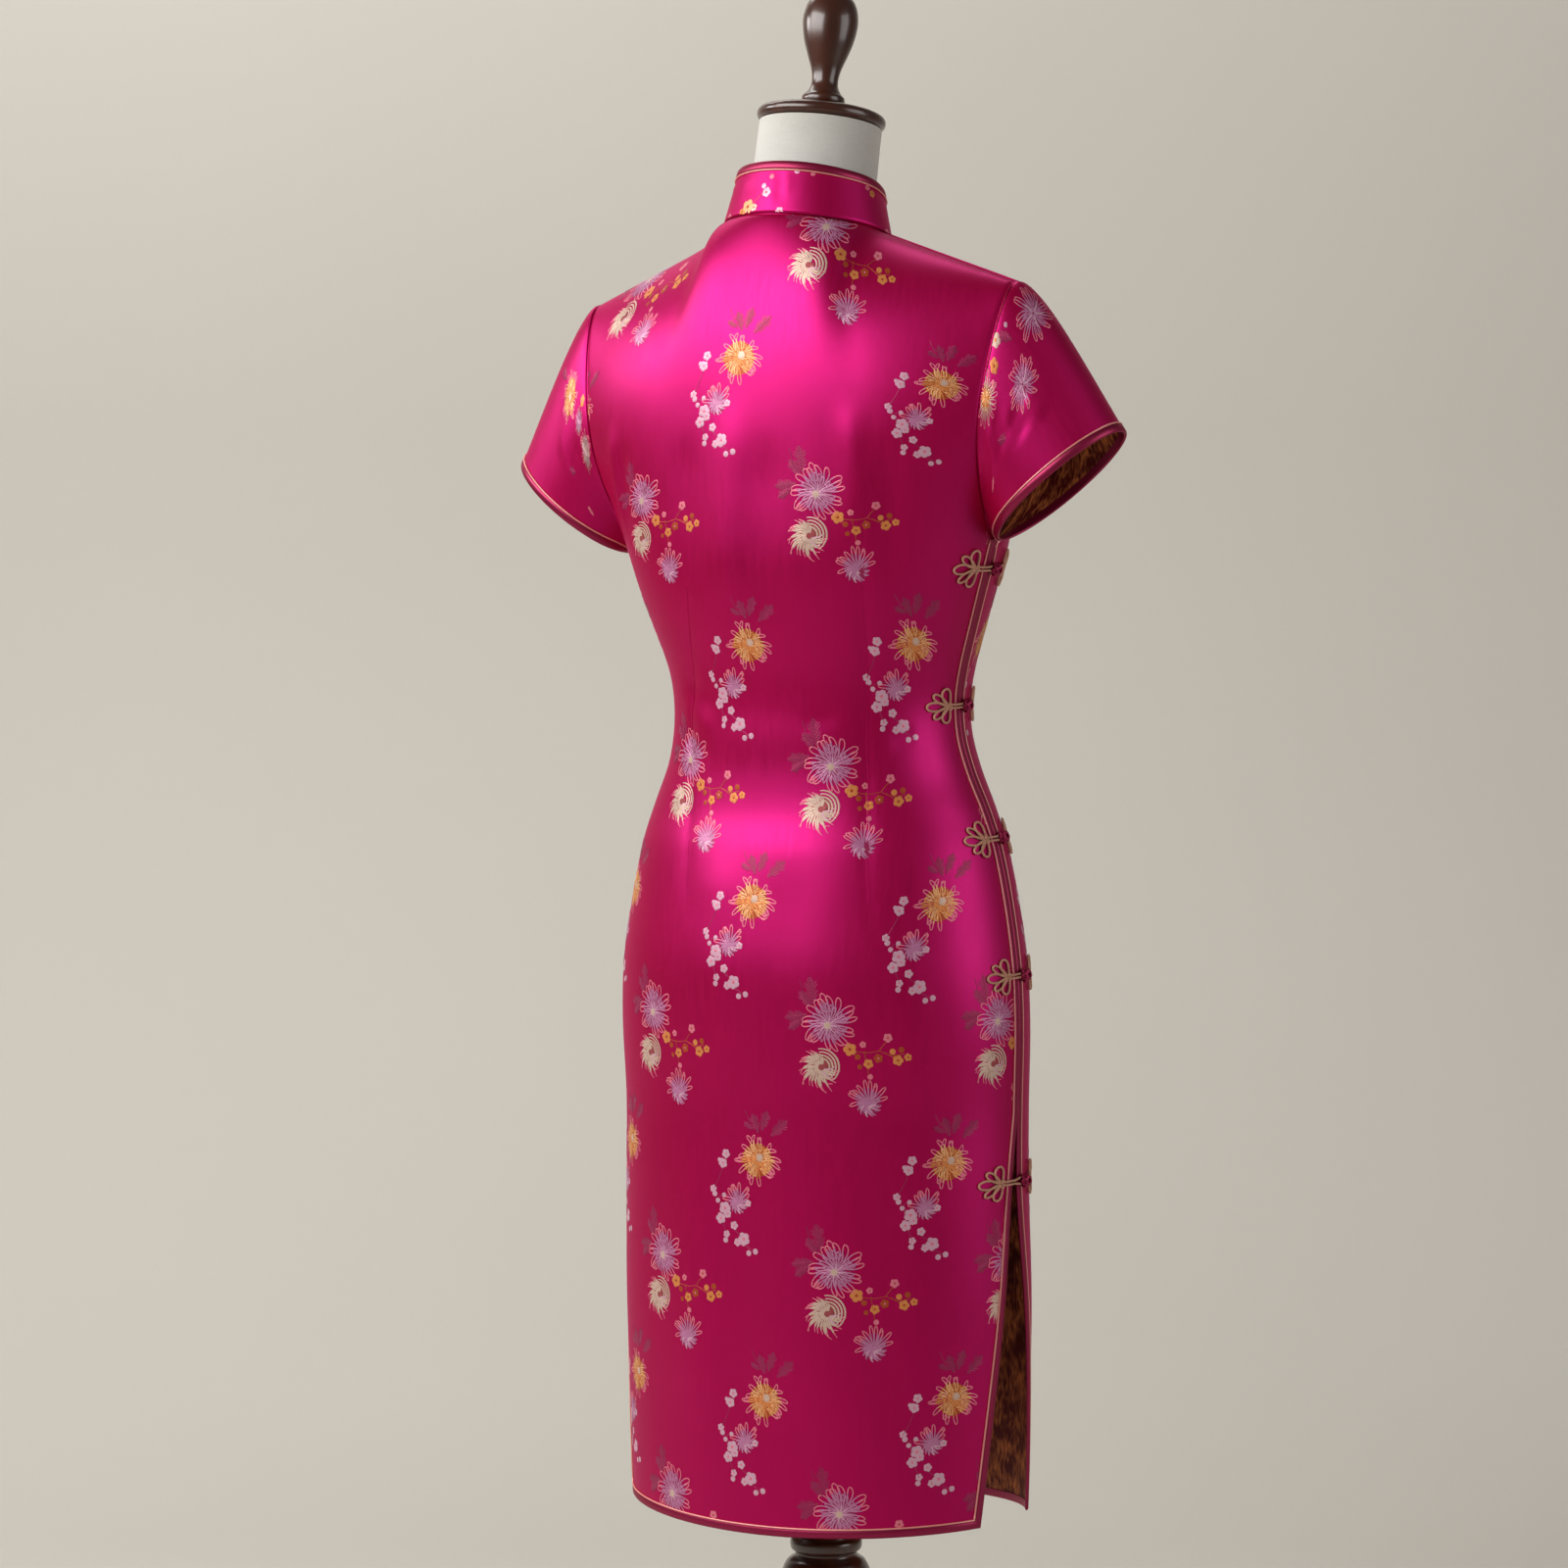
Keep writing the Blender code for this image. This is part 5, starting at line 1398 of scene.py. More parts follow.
def form_half_angles(t, steps=FORM_COLUMNS):
    """The torso's columns from the middle to the armhole, fitted to its neck at the top."""
    half = steps // 2
    even = [90.0 * i / half for i in range(half + 1)]
    tip = TIP_X - FORM_INSET
    width = NECK_X - FORM_INSET
    corner = math.degrees(math.asin(width / tip))
    on_neck = half // 2
    fitted = [math.degrees(math.asin(width * math.sin(math.pi / 2 * i / on_neck) / tip))
              for i in range(on_neck + 1)]
    fitted += [corner + (90.0 - corner) * i / (half - on_neck)
               for i in range(1, half - on_neck + 1)]
    blend = float(ramp(t, TOP_FIT_T, 1.0))
    return [a + (b - a) * blend for a, b in zip(even, fitted)]


def form_ring(t=None, z=None):
    """One closed ring of the torso: the back, the left side, the front and the right side."""
    angles = [-90.0 + 180.0 * i / FORM_COLUMNS for i in range(FORM_COLUMNS + 1)]
    if z is not None:
        rear = [body_point(1, a, z, FORM_INSET) for a in angles]
        fore = [body_point(-1, a, z, FORM_INSET) for a in reversed(angles)]
    else:
        half = form_half_angles(t)
        angles = [-a for a in reversed(half)] + half[1:]
        rear = [upper_point(1, a, t, FORM_INSET, FORM_SHOULDER_DROP) for a in angles]
        fore = [upper_point(-1, a, t, FORM_INSET, FORM_SHOULDER_DROP) for a in reversed(angles)]
    left = [np.array(rear[-1]) * (1 - s) + np.array(fore[0]) * s for s in (1 / 3, 2 / 3)]
    right = [np.array(fore[-1]) * (1 - s) + np.array(rear[0]) * s for s in (1 / 3, 2 / 3)]
    return [Vector(p) for p in rear + left + fore + right]


def neck_foot(point):
    """A point of the torso's neck opening, drawn in towards the neck's middle."""
    return Vector((point.x * FORM_NECK_IN, NECK_Y + (point.y - NECK_Y) * FORM_NECK_IN, point.z))


def neck_top_point(point):
    """The point of the neck's round, tilted top edge in the direction of a foot point."""
    around = math.atan2(point.x, point.y - NECK_Y)
    flat = Vector((math.sin(around), math.cos(around), 0.0)) * NECK_TOP_RADIUS
    return NECK_TOP + Matrix.Rotation(NECK_LEAN, 3, "X") @ flat


def dress_form():
    """Torso and neck, closed below and at the top of the neck."""
    heights = np.linspace(FORM_BOTTOM, UNDERARM_Z, 30)
    rings = [form_ring(z=float(z)) for z in heights]
    rings += [form_ring(t=t) for t in arm_rows(24)[1:]]
    work = bmesh.new()
    loops = [[work.verts.new(p) for p in ring] for ring in rings]
    count = len(loops[0])
    for low, high in zip(loops, loops[1:]):
        for i in range(count):
            j = (i + 1) % count
            work.faces.new((low[i], low[j], high[j], high[i]))
    work.faces.new(list(reversed(loops[0])))
    half = FORM_COLUMNS // 2
    on_neck = half // 2
    rear = loops[-1][half - on_neck: half + on_neck + 1]
    start = FORM_COLUMNS + 3 + half - on_neck
    fore = loops[-1][start: start + 2 * on_neck + 1]
    below = rear + fore[1:-1]
    foot = [neck_foot(v.co) for v in below]
    for k in range(FORM_NECK_RINGS + 1):
        share = k / FORM_NECK_RINGS
        curve = share**1.15
        ring = []
        for point in foot:
            low = point + Vector((0.0, 0.0, 0.004 * (1.0 - share)))
            ring.append(work.verts.new(low.lerp(neck_top_point(point), curve)))
        for i in range(len(below)):
            j = (i + 1) % len(below)
            work.faces.new((below[i], below[j], ring[j], ring[i]))
        below = ring
    work.faces.new(below)
    bmesh.ops.remove_doubles(work, verts=work.verts, dist=1e-6)
    bmesh.ops.dissolve_degenerate(work, edges=work.edges, dist=1e-6)
    bmesh.ops.recalc_face_normals(work, faces=work.faces)
    mesh = bpy.data.meshes.new("dress_form_cover")
    work.to_mesh(mesh)
    work.free()
    mesh.materials.append(form_cloth)
    mesh.shade_smooth()
    mesh.set_sharp_from_angle(angle=math.radians(55.0))
    made = bpy.data.objects.new("dress_form_cover", mesh)
    bpy.context.scene.collection.objects.link(made)
    return made


piece(dress_form(), "form_cloth", "dress_form")
base = piece(turned("turned_base", BASE_PROFILE, wood, 128), "dark_wood", "stand_base")
piece(turned("turned_post", POST_PROFILE, wood, 96), "dark_wood", "stand_post")
cap = turned("turned_cap", CAP_PROFILE, wood, 96)
knob = turned("turned_finial", FINIAL_PROFILE, wood, 72)
tilt = Matrix.Rotation(NECK_LEAN, 4, "X")
above = tilt @ Vector((0.0, 0.0, 1.0))
cap.data.transform(Matrix.Translation(NECK_TOP + above * SEAM) @ tilt)
knob.data.transform(Matrix.Translation(NECK_TOP + above * (CAP_PROFILE[-1][1] + 2.0 * SEAM))
                    @ tilt)
piece(cap, "dark_wood", "neck_cap")
piece(knob, "dark_wood", "finial")

piece(made_back, "satin", "back_panel")
piece(made_front, "satin", "front_panel")
piece(made_under, "satin", "underlap")
piece(made_sleeves[1], "satin", "sleeve_left")
piece(made_sleeves[-1], "satin", "sleeve_right")
piece(made_collar, "satin", "collar")
for (band, cord), node in ((back_trim, "back_binding"), (front_trim, "front_binding"),
                           (lapel_trim, "lapel_binding"), (sleeve_trims[1], "sleeve_binding_left"),
                           (sleeve_trims[-1], "sleeve_binding_right"),
                           (collar_trim, "collar_binding")):
    piece(band, "satin_dark", node)
    piece(cord, "gold_cord")


# Brocade: chrysanthemums, blossoms and leaves of raised thread, in millimetres right and up

THREADS = {
    "gold": (0.78, 0.27, 0.08, 1.0), "gold_light": (0.90, 0.48, 0.23, 1.0),
    "gold_shade": (0.46, 0.07, 0.022, 1.0), "cream": (0.70, 0.48, 0.39, 1.0),
    "cream_shade": (0.40, 0.075, 0.085, 1.0), "lavender": (0.58, 0.21, 0.39, 1.0),
    "rose": (0.84, 0.20, 0.29, 1.0), "pale": (0.74, 0.41, 0.54, 1.0),
    "leaf": (0.36, 0.022, 0.10, 1.0),
}
THREAD_NAMES = list(THREADS)
# Rows of the repeat (mm): up from the hem, then columns across (+ to the wearer's right)
GOLD_ROWS = ((950, -206, -10, 161), (720, -162, -8, 130), (513, -160, 0, 155),
             (305, -154, 5, 163), (110, -144, 9, 166))
LAVENDER_ROWS = ((1064, -153, 51), (846, -112, 61, 232), (625, -81, 59, 215),
                 (419, -104, 69, 213), (220, -95, 72, 222), (22, -89, 73, 210))
THREAD_LIFT = 0.05
THREAD_DOME = 0.16


class Motif:
    """Ribbons and discs of thread, each vertex at (right, up, lift) in millimetres."""

    def __init__(self, seed):
        self.points, self.faces, self.tones = [], [], []
        self.chance = random.Random(seed)

    def ribbon(self, path, widths, tone, tip=None, tip_from=0.72, lift=0.0, closed=False):
        path = np.array(path)
        if closed:
            along = np.roll(path, -1, axis=0) - np.roll(path, 1, axis=0)
        else:
            along = np.gradient(path, axis=0)
        along /= np.maximum(np.linalg.norm(along, axis=1, keepdims=True), 1e-9)
        aside = np.stack([-along[:, 1], along[:, 0]], axis=1)
        widths = np.broadcast_to(np.asarray(widths, dtype=float), (len(path),))
        start = len(self.points)
        for spot, side, width in zip(path, aside, widths):
            for reach, up in ((-0.5, 0.0), (0.0, THREAD_DOME), (0.5, 0.0)):
                at = spot + side * width * reach
                self.points.append((at[0], at[1], THREAD_LIFT + lift + up))
        count = len(path)
        for i in range(count if closed else count - 1):
            j = (i + 1) % count
            share = abs((i + 0.5) / count - 0.5) * 2.0 if closed else (i + 0.5) / (count - 1)
            at_tip = (1.0 - share) >= tip_from if closed else share >= tip_from
            shown = tip if tip and at_tip else tone
            for k in (0, 1):
                self.faces.append((start + 3 * i + k, start + 3 * j + k,
                                   start + 3 * j + k + 1, start + 3 * i + k + 1))
                self.tones.append(THREAD_NAMES.index(shown))

    def disc(self, at, radius, tone, lift=0.0, sides=9, stretch=1.0):
        start = len(self.points)
        self.points.append((at[0], at[1], THREAD_LIFT + lift + THREAD_DOME * 1.3))
        turn = self.chance.uniform(0.0, 1.0)
        for i in range(sides):
            a = 2.0 * math.pi * (i + turn) / sides
            self.points.append((at[0] + radius * math.cos(a),
                                at[1] + radius * stretch * math.sin(a), THREAD_LIFT + lift))
        for i in range(sides):
            self.faces.append((start, start + 1 + i, start + 1 + (i + 1) % sides))
            self.tones.append(THREAD_NAMES.index(tone))

    def petal(self, at, angle, inner, outer, swirl, width, tone, tip, lift):
        """A thin curled petal from one radius to another."""
        path, widths = [], []
        for i in range(7):
            share = i / 6
            reach = inner + (outer - inner) * share
            a = angle + swirl * share**2
            path.append((at[0] + reach * math.cos(a), at[1] + reach * math.sin(a)))
            widths.append(width * (0.45 + 0.75 * math.sin(math.pi * min(share + 0.12, 1.0)**0.8)))
        self.ribbon(path, widths, tone, tip, lift=lift)

    def loop_petal(self, at, angle, inner, outer, bend, width, line, tone, tip, lift):
        """A petal drawn as an outline that closes round its tip."""
        path = []
        for i in range(14):
            a = 2.0 * math.pi * i / 14
            share = math.sin(a / 2.0)**2
            reach = inner + (outer - inner) * share
            side = width / 2.0 * math.sin(a) * (0.45 + 0.75 * share)
            turn = angle + bend * share
            path.append((at[0] + reach * math.cos(turn) - side * math.sin(turn),
                         at[1] + reach * math.sin(turn) + side * math.cos(turn)))
        self.ribbon(path, line, tone, tip, 0.62, lift, closed=True)

    def blossom(self, at, radius, tone="pale", heart="rose"):
        turn = self.chance.uniform(0.0, math.pi)
        if radius < 2.6:
            self.disc(at, radius, tone, 0.05)
            return
        for i in range(5):
            a = turn + 2.0 * math.pi * i / 5
            spot = (at[0] + radius * 0.56 * math.cos(a), at[1] + radius * 0.56 * math.sin(a))
            self.disc(spot, radius * 0.50, tone, 0.03 * i)
        self.disc(at, radius * 0.26, heart, 0.22, 6)

    def stem(self, ends, tone="leaf", width=0.7):
        (x0, y0), (x1, y1) = ends
        bend = self.chance.uniform(-0.12, 0.12)
        path = []
        for i in range(6):
            t = i / 5
            side = bend * math.sin(math.pi * t)
            path.append((x0 + (x1 - x0) * t - (y1 - y0) * side,
                         y0 + (y1 - y0) * t + (x1 - x0) * side))
        self.ribbon(path, width, tone)

    def leaf(self, at, angle, length, tone="leaf"):
        """A lobed leaf hatched with threads that leave its midrib."""
        for side in (-1.0, 1.0):
            for i in range(9):
                share = (i + 0.5) / 9
                lobes = 0.62 + 0.38 * abs(math.sin(math.pi * share * 2.6))
                reach = length * 0.36 * math.sin(math.pi * share**0.8)**0.8 * lobes
                turn = angle + side * math.radians(48.0)
                x = at[0] + math.cos(angle) * length * share * 0.92
                y = at[1] + math.sin(angle) * length * share * 0.92
                self.ribbon([(x, y), (x + math.cos(turn) * reach / 2, y + math.sin(turn) * reach / 2),
                             (x + math.cos(turn) * reach, y + math.sin(turn) * reach)],
                            (1.5, 1.4, 0.6), tone)
        tip = (at[0] + math.cos(angle) * length, at[1] + math.sin(angle) * length)
        self.ribbon([at, ((at[0] + tip[0]) / 2, (at[1] + tip[1]) / 2), tip], (0.8, 0.7, 0.3),
                    tone, lift=0.08)

    def mum(self, at, radius, tone, shade, tip, heart, heart_at, swirl=0.35):
        """A full chrysanthemum of curled petals in three rounds."""
        chance = self.chance
        self.disc(at, radius * 0.66, shade, -0.02, 20)
        light = "gold_light" if tone == "gold" else "pale"
        for layer, (count, low, high, width) in enumerate(((21, 0.34, 1.0, 3.3),
                                                           (15, 0.16, 0.66, 2.9))):
            for i in range(count):
                angle = 2.0 * math.pi * (i + chance.uniform(-0.2, 0.2)) / count
                end = radius * high * chance.uniform(0.86, 1.05)
                curl = swirl * chance.uniform(0.1, 1.3) * (1 if chance.random() < 0.74 else -1)
                shown = light if chance.random() < 0.55 else tone
                self.loop_petal(at, angle, radius * low, end, curl, width * radius / 20.5,
                                0.85 * radius / 20.5, shown, tip if layer == 0 else None,
                                0.05 + 0.08 * layer)
        for i in range(12):
            angle = 2.0 * math.pi * (i + chance.uniform(-0.2, 0.2)) / 12
            self.petal(at, angle, radius * 0.05, radius * 0.38, swirl, 1.2 * radius / 20.5, tone,
                       None, 0.22)
        self.disc((at[0] + heart_at[0], at[1] + heart_at[1]), radius * 0.17, heart, 0.28)


def gold_cluster():
    """A gold chrysanthemum with leaves above it and a spray of pale blossom below."""
    made = Motif(5)
    for at, angle, length in (((1, 22), 1.9, 17), ((4, 24), 1.25, 18), ((12, 20), 0.75, 21),
                              ((-4, 25), 2.6, 10)):
        made.leaf(at, angle, length)
    made.stem(((-6, 30), (-11, 40)))
    made.mum((0, 0), 20.5, "gold", "gold_shade", "rose", "cream", (2.0, 2.2))
    for x, y, r in ((-29.7, 3.2, 3.7), (-32.6, -4.6, 4.0), (-36.0, -2.2, 1.8),
                    (-42.0, -26.0, 3.0), (-40.6, -30.0, 2.4), (-31.7, -30.6, 2.1),
                    (-37.6, -35.3, 2.1), (-31.0, -41.0, 5.2), (-28.6, -45.6, 3.4),
                    (-35.0, -49.5, 4.4), (-22.5, -54.6, 3.4), (-29.6, -62.0, 2.9),
                    (-30.6, -67.0, 2.3), (-13.5, -65.0, 5.4), (-19.4, -68.0, 3.2),
                    (-8.8, -76.0, 2.4), (-2.6, -74.2, 2.5), (-9.2, -35.6, 2.9)):
        made.blossom((x, y), r)
    for ends in (((-32, -6), (-41, -25)), ((-37, -35), (-31, -46)), ((-34, -52), (-29, -64)),
                 ((-24, -57), (-15, -64)), ((-16, -69), (-4, -75)), ((-26, -30), (-38, -33))):
        made.stem(ends)
    half_mum(made, (-18.6, -36.4), 9.0, 10.5, 9)
    return made


def half_mum(made, at, body, reach, count, start=25.0, end=165.0):
    """A half-open chrysanthemum: close petals below and a fan of outlined ones above."""
    chance = made.chance
    made.disc(at, body * 0.86, "leaf", -0.02, 16)
    for layer in range(3):
        for i in range(9 - layer):
            a = math.radians(168.0 + 204.0 * i / (8 - layer) + chance.uniform(-7.0, 7.0))
            r = body * (0.48 - 0.20 * layer)
            x, y = at[0] + r * math.cos(a), at[1] + r * math.sin(a)
            tone = "pale" if chance.random() < 0.25 else "lavender"
            made.petal((x, y), a, 0.0, body * 0.50, 0.45, 1.5, tone, None, 0.06 + 0.04 * layer)
    for i in range(5):
        a = math.radians(35.0 + 27.0 * i)
        made.petal((at[0], at[1] - 1.0), a, 0.5, body * 0.75, 0.2, 1.5, "lavender", None, 0.16)
    for i in range(count):
        a = math.radians(start + (end - start) * (i + chance.uniform(-0.2, 0.2)) / (count - 1))
        size = reach * chance.uniform(0.85, 1.2)
        made.loop_petal((at[0], at[1] + 1.0), a, body * 0.25, body * 0.4 + size,
                        chance.uniform(-0.3, 0.3), 2.9, 0.85, "lavender", "rose", 0.08)


def lavender_cluster():
    """A spider chrysanthemum, a cream one below it, gold berries and a half-open flower."""
    made = Motif(11)
    chance = made.chance
    for at, angle, length in (((-12, 14), 1.75, 24), ((-14, 12), 2.25, 17), ((-18, 6), 3.3, 20),
                              ((-22, 2), 3.75, 15)):
        made.leaf(at, angle, length)
    made.stem(((-20, 18), (-24, 34)))
    made.disc((0, 0), 12.5, "leaf", -0.02, 20)
    for i in range(20):
        a = 2.0 * math.pi * i / 20 + chance.uniform(-0.08, 0.08)
        wide = 1.35 if -0.4 < math.sin(a - 0.75) else 1.0
        far = 22.5 * chance.uniform(0.9, 1.06) * (1.06 if math.cos(a - 0.75) > 0.6 else 1.0)
        made.loop_petal((0, 0), a, 8.5, far, chance.uniform(-0.12, 0.36), 3.9 * wide, 0.95,
                        "lavender", "rose", 0.06)
    for i in range(19):
        a = 2.0 * math.pi * i / 19 + chance.uniform(-0.1, 0.1)
        made.loop_petal((0, 0), a, 3.0, 15.0 * chance.uniform(0.9, 1.1), 0.1, 2.5, 0.8,
                        "lavender", None, 0.13)
    for i in range(16):
        a = 2.0 * math.pi * (i + 0.4) / 16
        made.petal((-0.5, -1.5), a, 1.5, 8.5, 0.15, 1.0, "pale" if i % 2 else "lavender", None, 0.2)
    made.disc((-1.2, -2.2), 3.1, "cream", 0.3)

    at = (-8.1, -36.0)
    made.disc(at, 11.0, "cream_shade", -0.02, 18)
    for i in range(23):
        a = math.radians(95.0 + 235.0 * i / 22 + chance.uniform(-3.0, 3.0))
        far = 18.5 * chance.uniform(0.8, 1.05) * (1.1 if 170 < math.degrees(a) < 290 else 0.9)
        made.petal(at, a, 6.5, far, chance.uniform(0.1, 0.6), 1.35, "cream", "rose", 0.06)
    for i in range(18):
        a = math.radians(70.0 + 270.0 * i / 17)
        tone = "pale" if chance.random() < 0.25 else "cream"
        made.petal((at[0] + 1.0, at[1]), a, 2.5, 12.0 * chance.uniform(0.85, 1.1), 0.45, 1.2,
                   tone, None, 0.14)
    for ring_radius in (14.0, 11.4, 8.8, 6.2):
        arc = [(at[0] + 1.5 + ring_radius * math.cos(a), at[1] + 1.0 + ring_radius * math.sin(a))
               for a in np.linspace(-1.0, 1.75, 14)]
        made.ribbon(arc, [0.7 + 0.8 * math.sin(math.pi * i / 13) for i in range(14)], "cream",
                    lift=0.10)
    made.disc((at[0] + 4.2, at[1] + 0.8), 2.0, "cream_shade", 0.26, 7)

    for x, y, r, tone in ((16.5, -21.0, 5.2, "gold"), (31.0, -32.5, 3.8, "gold"),
                          (39.0, -28.0, 3.6, "gold_shade"), (22.5, -27.0, 2.4, "gold_shade"),
                          (27.0, -17.0, 2.6, "rose"), (47.0, -11.5, 3.6, "rose"),
                          (50.5, -22.5, 2.5, "gold"), (57.5, -21.0, 2.5, "gold_shade"),
                          (54.5, -29.5, 4.2, "gold"), (62.5, -27.0, 3.0, "gold"),
                          (32.0, -43.0, 2.3, "rose"), (24.0, -35.0, 2.0, "gold_shade")):
        made.blossom((x, y), r, tone, "gold_shade" if tone != "gold_shade" else "rose")
    for ends in (((19, -22), (40, -22)), ((40, -22), (60, -24)), ((28, -22), (31, -42)),
                 ((40, -22), (48, -13)), ((32, -43), (31, -52)), ((44, -23), (54, -28))):
        made.stem(ends, "gold_shade", 0.6)
    half_mum(made, (30.0, -65.5), 10.5, 13.0, 11, 20.0, 172.0)
    return made


def brocade(name, cloth, placings, hand, up=1.0):
    """All clusters of a cloth piece as one mesh. Placings are (motif, across, up), metres."""
    spots, lifts, faces, tones = [], [], [], []
    start = 0
    for motif, across, height in placings:
        flat = np.array(motif.points)
        spots.append(np.stack([across + hand * flat[:, 0] / 1000.0,
                               height + up * flat[:, 1] / 1000.0], axis=1))
        lifts.append(flat[:, 2] / 1000.0)
        faces += [tuple(i + start for i in face) for face in motif.faces]
        tones += motif.tones
        start += len(flat)
    spots, lifts = np.concatenate(spots), np.concatenate(lifts)
    points, units = cloth.lookup(spots[:, 0], spots[:, 1])
    units /= np.linalg.norm(units, axis=1, keepdims=True)
    good = ~np.isnan(points[:, 0])
    points = points + units * lifts[:, None]
    kept = [i for i, face in enumerate(faces) if all(good[j] for j in face)]
    used = sorted({j for i in kept for j in faces[i]})
    place = {old: new for new, old in enumerate(used)}
    shown = []
    for i in kept:
        face = faces[i]
        a, b, c = (points[j] for j in face[:3])
        turned_out = np.dot(np.cross(b - a, c - a), units[face[0]]) > 0.0
        order = face if turned_out else tuple(reversed(face))
        shown.append(tuple(place[j] for j in order))
    return add_mesh(name, points[used], shown, thread_materials, [tones[i] for i in kept])


thread_materials = [thread_material(f"thread_{name}", colour) for name, colour in THREADS.items()]
GOLD_MOTIF, LAVENDER_MOTIF = gold_cluster(), lavender_cluster()


def lattice(hand):
    """The repeat over a body panel: gold clusters, and lavender ones half a step on."""
    return [(motif, hand * column / 1000.0, row[0] / 1000.0)
            for motif, rows in ((GOLD_MOTIF, GOLD_ROWS), (LAVENDER_MOTIF, LAVENDER_ROWS))
            for row in rows for column in row[1:]]


def left_sleeve_motif():
    """A gold flower with pale and cream ones beside it, as on the left sleeve."""
    made = Motif(23)
    made.leaf((-20, -6), 3.6, 18)
    made.mum((0, 0), 20.0, "gold", "gold_shade", "rose", "cream", (1.0, 1.0))
    made.mum((31, 14), 11.0, "lavender", "leaf", "rose", "pale", (0.0, 0.0), 0.2)
    made.mum((58, 17), 16.0, "cream", "cream_shade", "rose", "pale", (1.0, 0.0), 0.5)
    made.blossom((22, 27), 4.6, "gold", "rose")
    made.blossom((70, -46), 4.2, "rose", "gold_shade")
    made.leaf((44, -30), 4.0, 15)
    return made


def right_sleeve_motif():
    """Lavender flowers towards the top and a gold spider flower at the armhole."""
    made = Motif(31)
    chance = made.chance
    for at, size, count in (((0.0, 0.0), 20.0, 22), ((45.0, 24.0), 21.0, 20)):
        made.disc(at, size * 0.55, "leaf", -0.02, 18)
        for i in range(count):
            a = 2.0 * math.pi * i / count
            made.loop_petal(at, a, size * 0.3, size * chance.uniform(0.9, 1.1),
                            chance.uniform(-0.1, 0.4), 3.4, 0.9, "lavender", "rose", 0.06)
        for i in range(14):
            a = 2.0 * math.pi * (i + 0.5) / 14
            made.petal(at, a, 1.0, size * 0.6, 0.2, 1.5, "lavender" if i % 3 else "pale", None,
                       0.13)
    spider = (-43.0, 46.0)
    made.disc(spider, 9.0, "gold_shade", -0.02, 16)
    for i in range(20):
        a = 2.0 * math.pi * i / 20
        made.loop_petal(spider, a, 7.0, 22.0 * chance.uniform(0.85, 1.08),
                        chance.uniform(-0.1, 0.3), 3.4, 0.9, "cream", "rose", 0.06)
    for i in range(16):
        a = 2.0 * math.pi * i / 16
        made.petal(spider, a, 0.5, 11.0, 0.25, 1.6, "gold" if i % 3 else "gold_light", None, 0.14)
    made.blossom((2, 50), 6.0, "cream", "gold")
    made.blossom((-16, 44), 6.0, "gold", "gold_shade")
    made.blossom((-28, 38), 3.4, "rose", "gold_shade")
    made.blossom((18, 44), 2.2, "pale")
    made.leaf((14, 32), 2.0, 20)
    made.leaf((-52, 6), 5.4, 20)
    made.leaf((-88, -8), 0.4, 13, "rose")
    return made


def collar_motif():
    """The tops of a gold blossom spray, cut off by the collar's seam."""
    made = Motif(41)
    for x, y, r, tone in ((-24.0, 6.0, 6.2, "gold_light"), (-30.0, 2.0, 3.6, "gold"),
                          (-17.0, 5.0, 3.2, "cream"), (-6.0, 17.0, 4.0, "pale"),
                          (-9.5, 22.5, 2.3, "pale"), (-3.0, 30.0, 2.2, "rose"),
                          (8.0, 1.5, 3.2, "pale"), (-50.0, 0.5, 3.6, "rose"),
                          (31.0, 34.0, 2.0, "rose"), (18.0, 35.0, 2.3, "pale"),
                          (86.0, 29.0, 3.2, "gold"), (80.0, 33.0, 2.6, "rose")):
        made.blossom((x, y), r, tone, "gold_shade")
    made.stem(((-22, 8), (-8, 20)), "gold_shade", 0.6)
    return made


def nearest_cell(cloth, x, z):
    """Lengths across and up at the cell of a cloth nearest to a place seen from the front."""
    away = np.hypot(cloth.grid[..., 0] - x, cloth.grid[..., 2] - z)
    r, c = np.unravel_index(away.argmin(), away.shape)
    return float(cloth.across[r, c]), float(cloth.up[r])


underlap_spots = [(GOLD_MOTIF, *nearest_cell(underlap, -0.135, 1.30)),
                  (LAVENDER_MOTIF, *nearest_cell(underlap, -0.085, 1.36)),
                  (LAVENDER_MOTIF, *nearest_cell(underlap, -0.150, 1.215))]
brocades = [
    brocade("back_brocade", back, lattice(-1), -1),
    brocade("front_brocade", front, lattice(1), 1),
    brocade("underlap_brocade", underlap, underlap_spots, 1),
    brocade("sleeve_left_brocade", sleeves[1],
            [(left_sleeve_motif(), -0.067, 0.035), (GOLD_MOTIF, 0.075, 0.045)], -1, -1.0),
    brocade("sleeve_right_brocade", sleeves[-1],
            [(right_sleeve_motif(), -0.0605, 0.054), (LAVENDER_MOTIF, 0.090, 0.040)], 1, -1.0),
    brocade("collar_brocade", collar, [(collar_motif(), 0.0, 0.0), (collar_motif(), 0.15, 0.0),
                                       (collar_motif(), -0.16, 0.0)], -1),
]
for made in brocades:
    piece(made, "gold_cord")


# Studio

CAMERA_TURN = math.radians(29.0)
CAMERA_DISTANCE = 4.8
CAMERA_HEIGHT = 1.337
CAMERA_DROP = 4.5
FOCAL_SHARE = 6030.0 / 1600.0
SHIFT_SHARE = -43.0 / 1600.0
SENSOR_WIDTH = 36.0
FLOOR_FRONT = -6.0
FLOOR_BACK = 1.6
WALL_BEND = 1.2
WALL_TOP = 5.5
HALF_WIDTH = 5.0
FLOOR_DROP = 0.0005
AWAY = Vector((math.sin(CAMERA_TURN), -math.cos(CAMERA_TURN), 0.0))
SIDE = Vector((AWAY.y, -AWAY.x, 0.0))


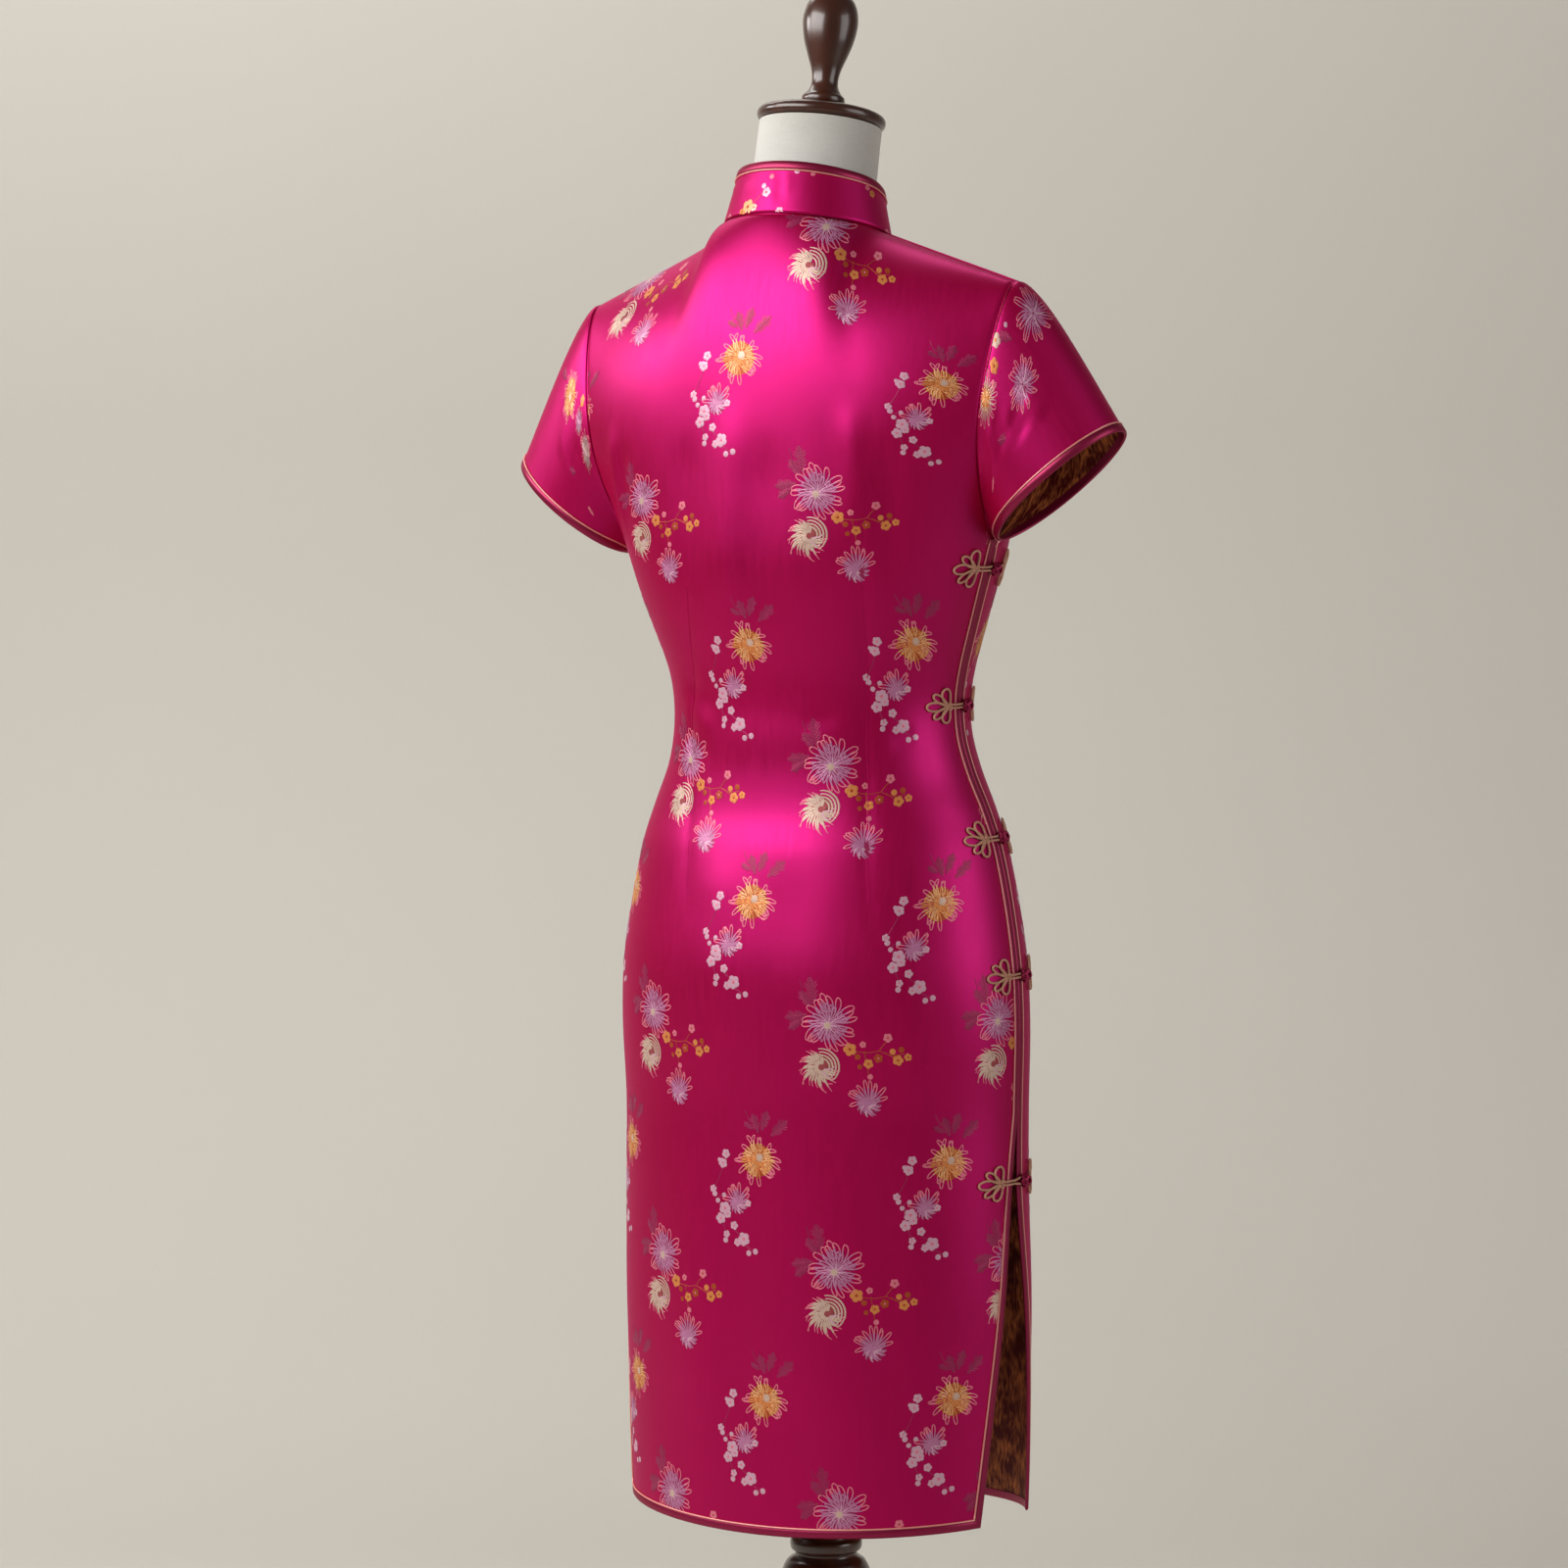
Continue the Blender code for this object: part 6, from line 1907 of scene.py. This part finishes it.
def backdrop_material():
    """Warm pale grey paper with a slow change of tone."""
    made, nodes, links, shader = new_material("backdrop")
    place = nodes.new("ShaderNodeTexCoord").outputs["Object"]
    slow = noise(nodes, links, place, 0.8, 2.0)
    colour = mix_colours(nodes, links, slow, (0.52, 0.495, 0.445, 1.0), (0.57, 0.545, 0.495, 1.0))
    links.new(colour, shader.inputs["Base Color"])
    shader.inputs["Roughness"].default_value = 0.9
    return made


def backdrop():
    """A floor that rises in a curve behind the object, seen from the camera's side."""
    profile = [(FLOOR_FRONT, 0.0), (FLOOR_BACK, 0.0)]
    profile += [(FLOOR_BACK + WALL_BEND * math.sin(a), WALL_BEND - WALL_BEND * math.cos(a))
                for a in np.linspace(0.1, math.pi / 2, 12)]
    profile += [(FLOOR_BACK + WALL_BEND, WALL_TOP)]
    points = []
    for along, up in profile:
        for side in (-HALF_WIDTH, HALF_WIDTH):
            spot = AWAY * along + SIDE * side
            points.append((spot.x, spot.y, up - FLOOR_DROP))
    faces = [(2 * i, 2 * i + 1, 2 * i + 3, 2 * i + 2) for i in range(len(profile) - 1)]
    return add_mesh("backdrop", points, faces, [backdrop_material()])


def area_light(name, place, target, size, power, colour):
    """A soft box of a size (across, up) that is aimed at a target."""
    data = bpy.data.lights.new(name, "AREA")
    data.shape = "RECTANGLE"
    data.size, data.size_y = size
    data.energy = power
    data.color = colour
    made = bpy.data.objects.new(name, data)
    made.location = place
    aim = Vector(target) - Vector(place)
    made.rotation_euler = aim.to_track_quat("-Z", "Y").to_euler()
    bpy.context.scene.collection.objects.link(made)
    return made


def seen_from(azimuth, distance, height):
    """A place round the object: azimuth 0 is the camera's side, + is to the photo's right."""
    angle = CAMERA_TURN + math.radians(azimuth)
    return (-math.sin(angle) * distance, math.cos(angle) * distance, height)


DAYLIGHT = (1.0, 0.985, 0.965)
# Soft boxes: name, place, target, size across and up, power, colour
LIGHTS = (
    ("key", seen_from(-60.0, 2.8, 2.40), (0, 0, 1.30), (3.4, 1.5), 118.0, DAYLIGHT),
    ("rim", seen_from(-104.0, 2.1, 1.85), (0, 0, 1.0), (0.7, 0.4), 9.0, (1.0, 0.985, 0.97)),
    ("fill", seen_from(64.0, 3.6, 1.7), (0, 0, 0.9), (2.2, 2.4), 40.0, (1.0, 0.98, 0.96)),
    ("wall", seen_from(-150.0, 1.9, 3.4), seen_from(-165.0, 2.7, 0.9), (3.0, 1.2), 50.0, DAYLIGHT),
)
studio = [backdrop()] + [area_light(*light) for light in LIGHTS]
bpy.context.scene.view_settings.view_transform = "Standard"
world = bpy.data.worlds.new("studio")
bpy.context.scene.world = world
world.use_nodes = True
sky = world.node_tree.nodes["Background"]
sky.inputs["Color"].default_value = (0.95, 0.93, 0.90, 1.0)
sky.inputs["Strength"].default_value = 0.12

camera_data = bpy.data.cameras.new("camera")
camera_data.sensor_width = SENSOR_WIDTH
camera_data.lens = SENSOR_WIDTH * FOCAL_SHARE
camera_data.shift_x = SHIFT_SHARE
camera_data.clip_end = 60.0
camera = bpy.data.objects.new("camera", camera_data)
camera.location = seen_from(0.0, CAMERA_DISTANCE, CAMERA_HEIGHT)
camera.rotation_euler = (math.radians(90.0 - CAMERA_DROP), 0.0, math.pi + CAMERA_TURN)
bpy.context.scene.collection.objects.link(camera)
bpy.context.scene.camera = camera
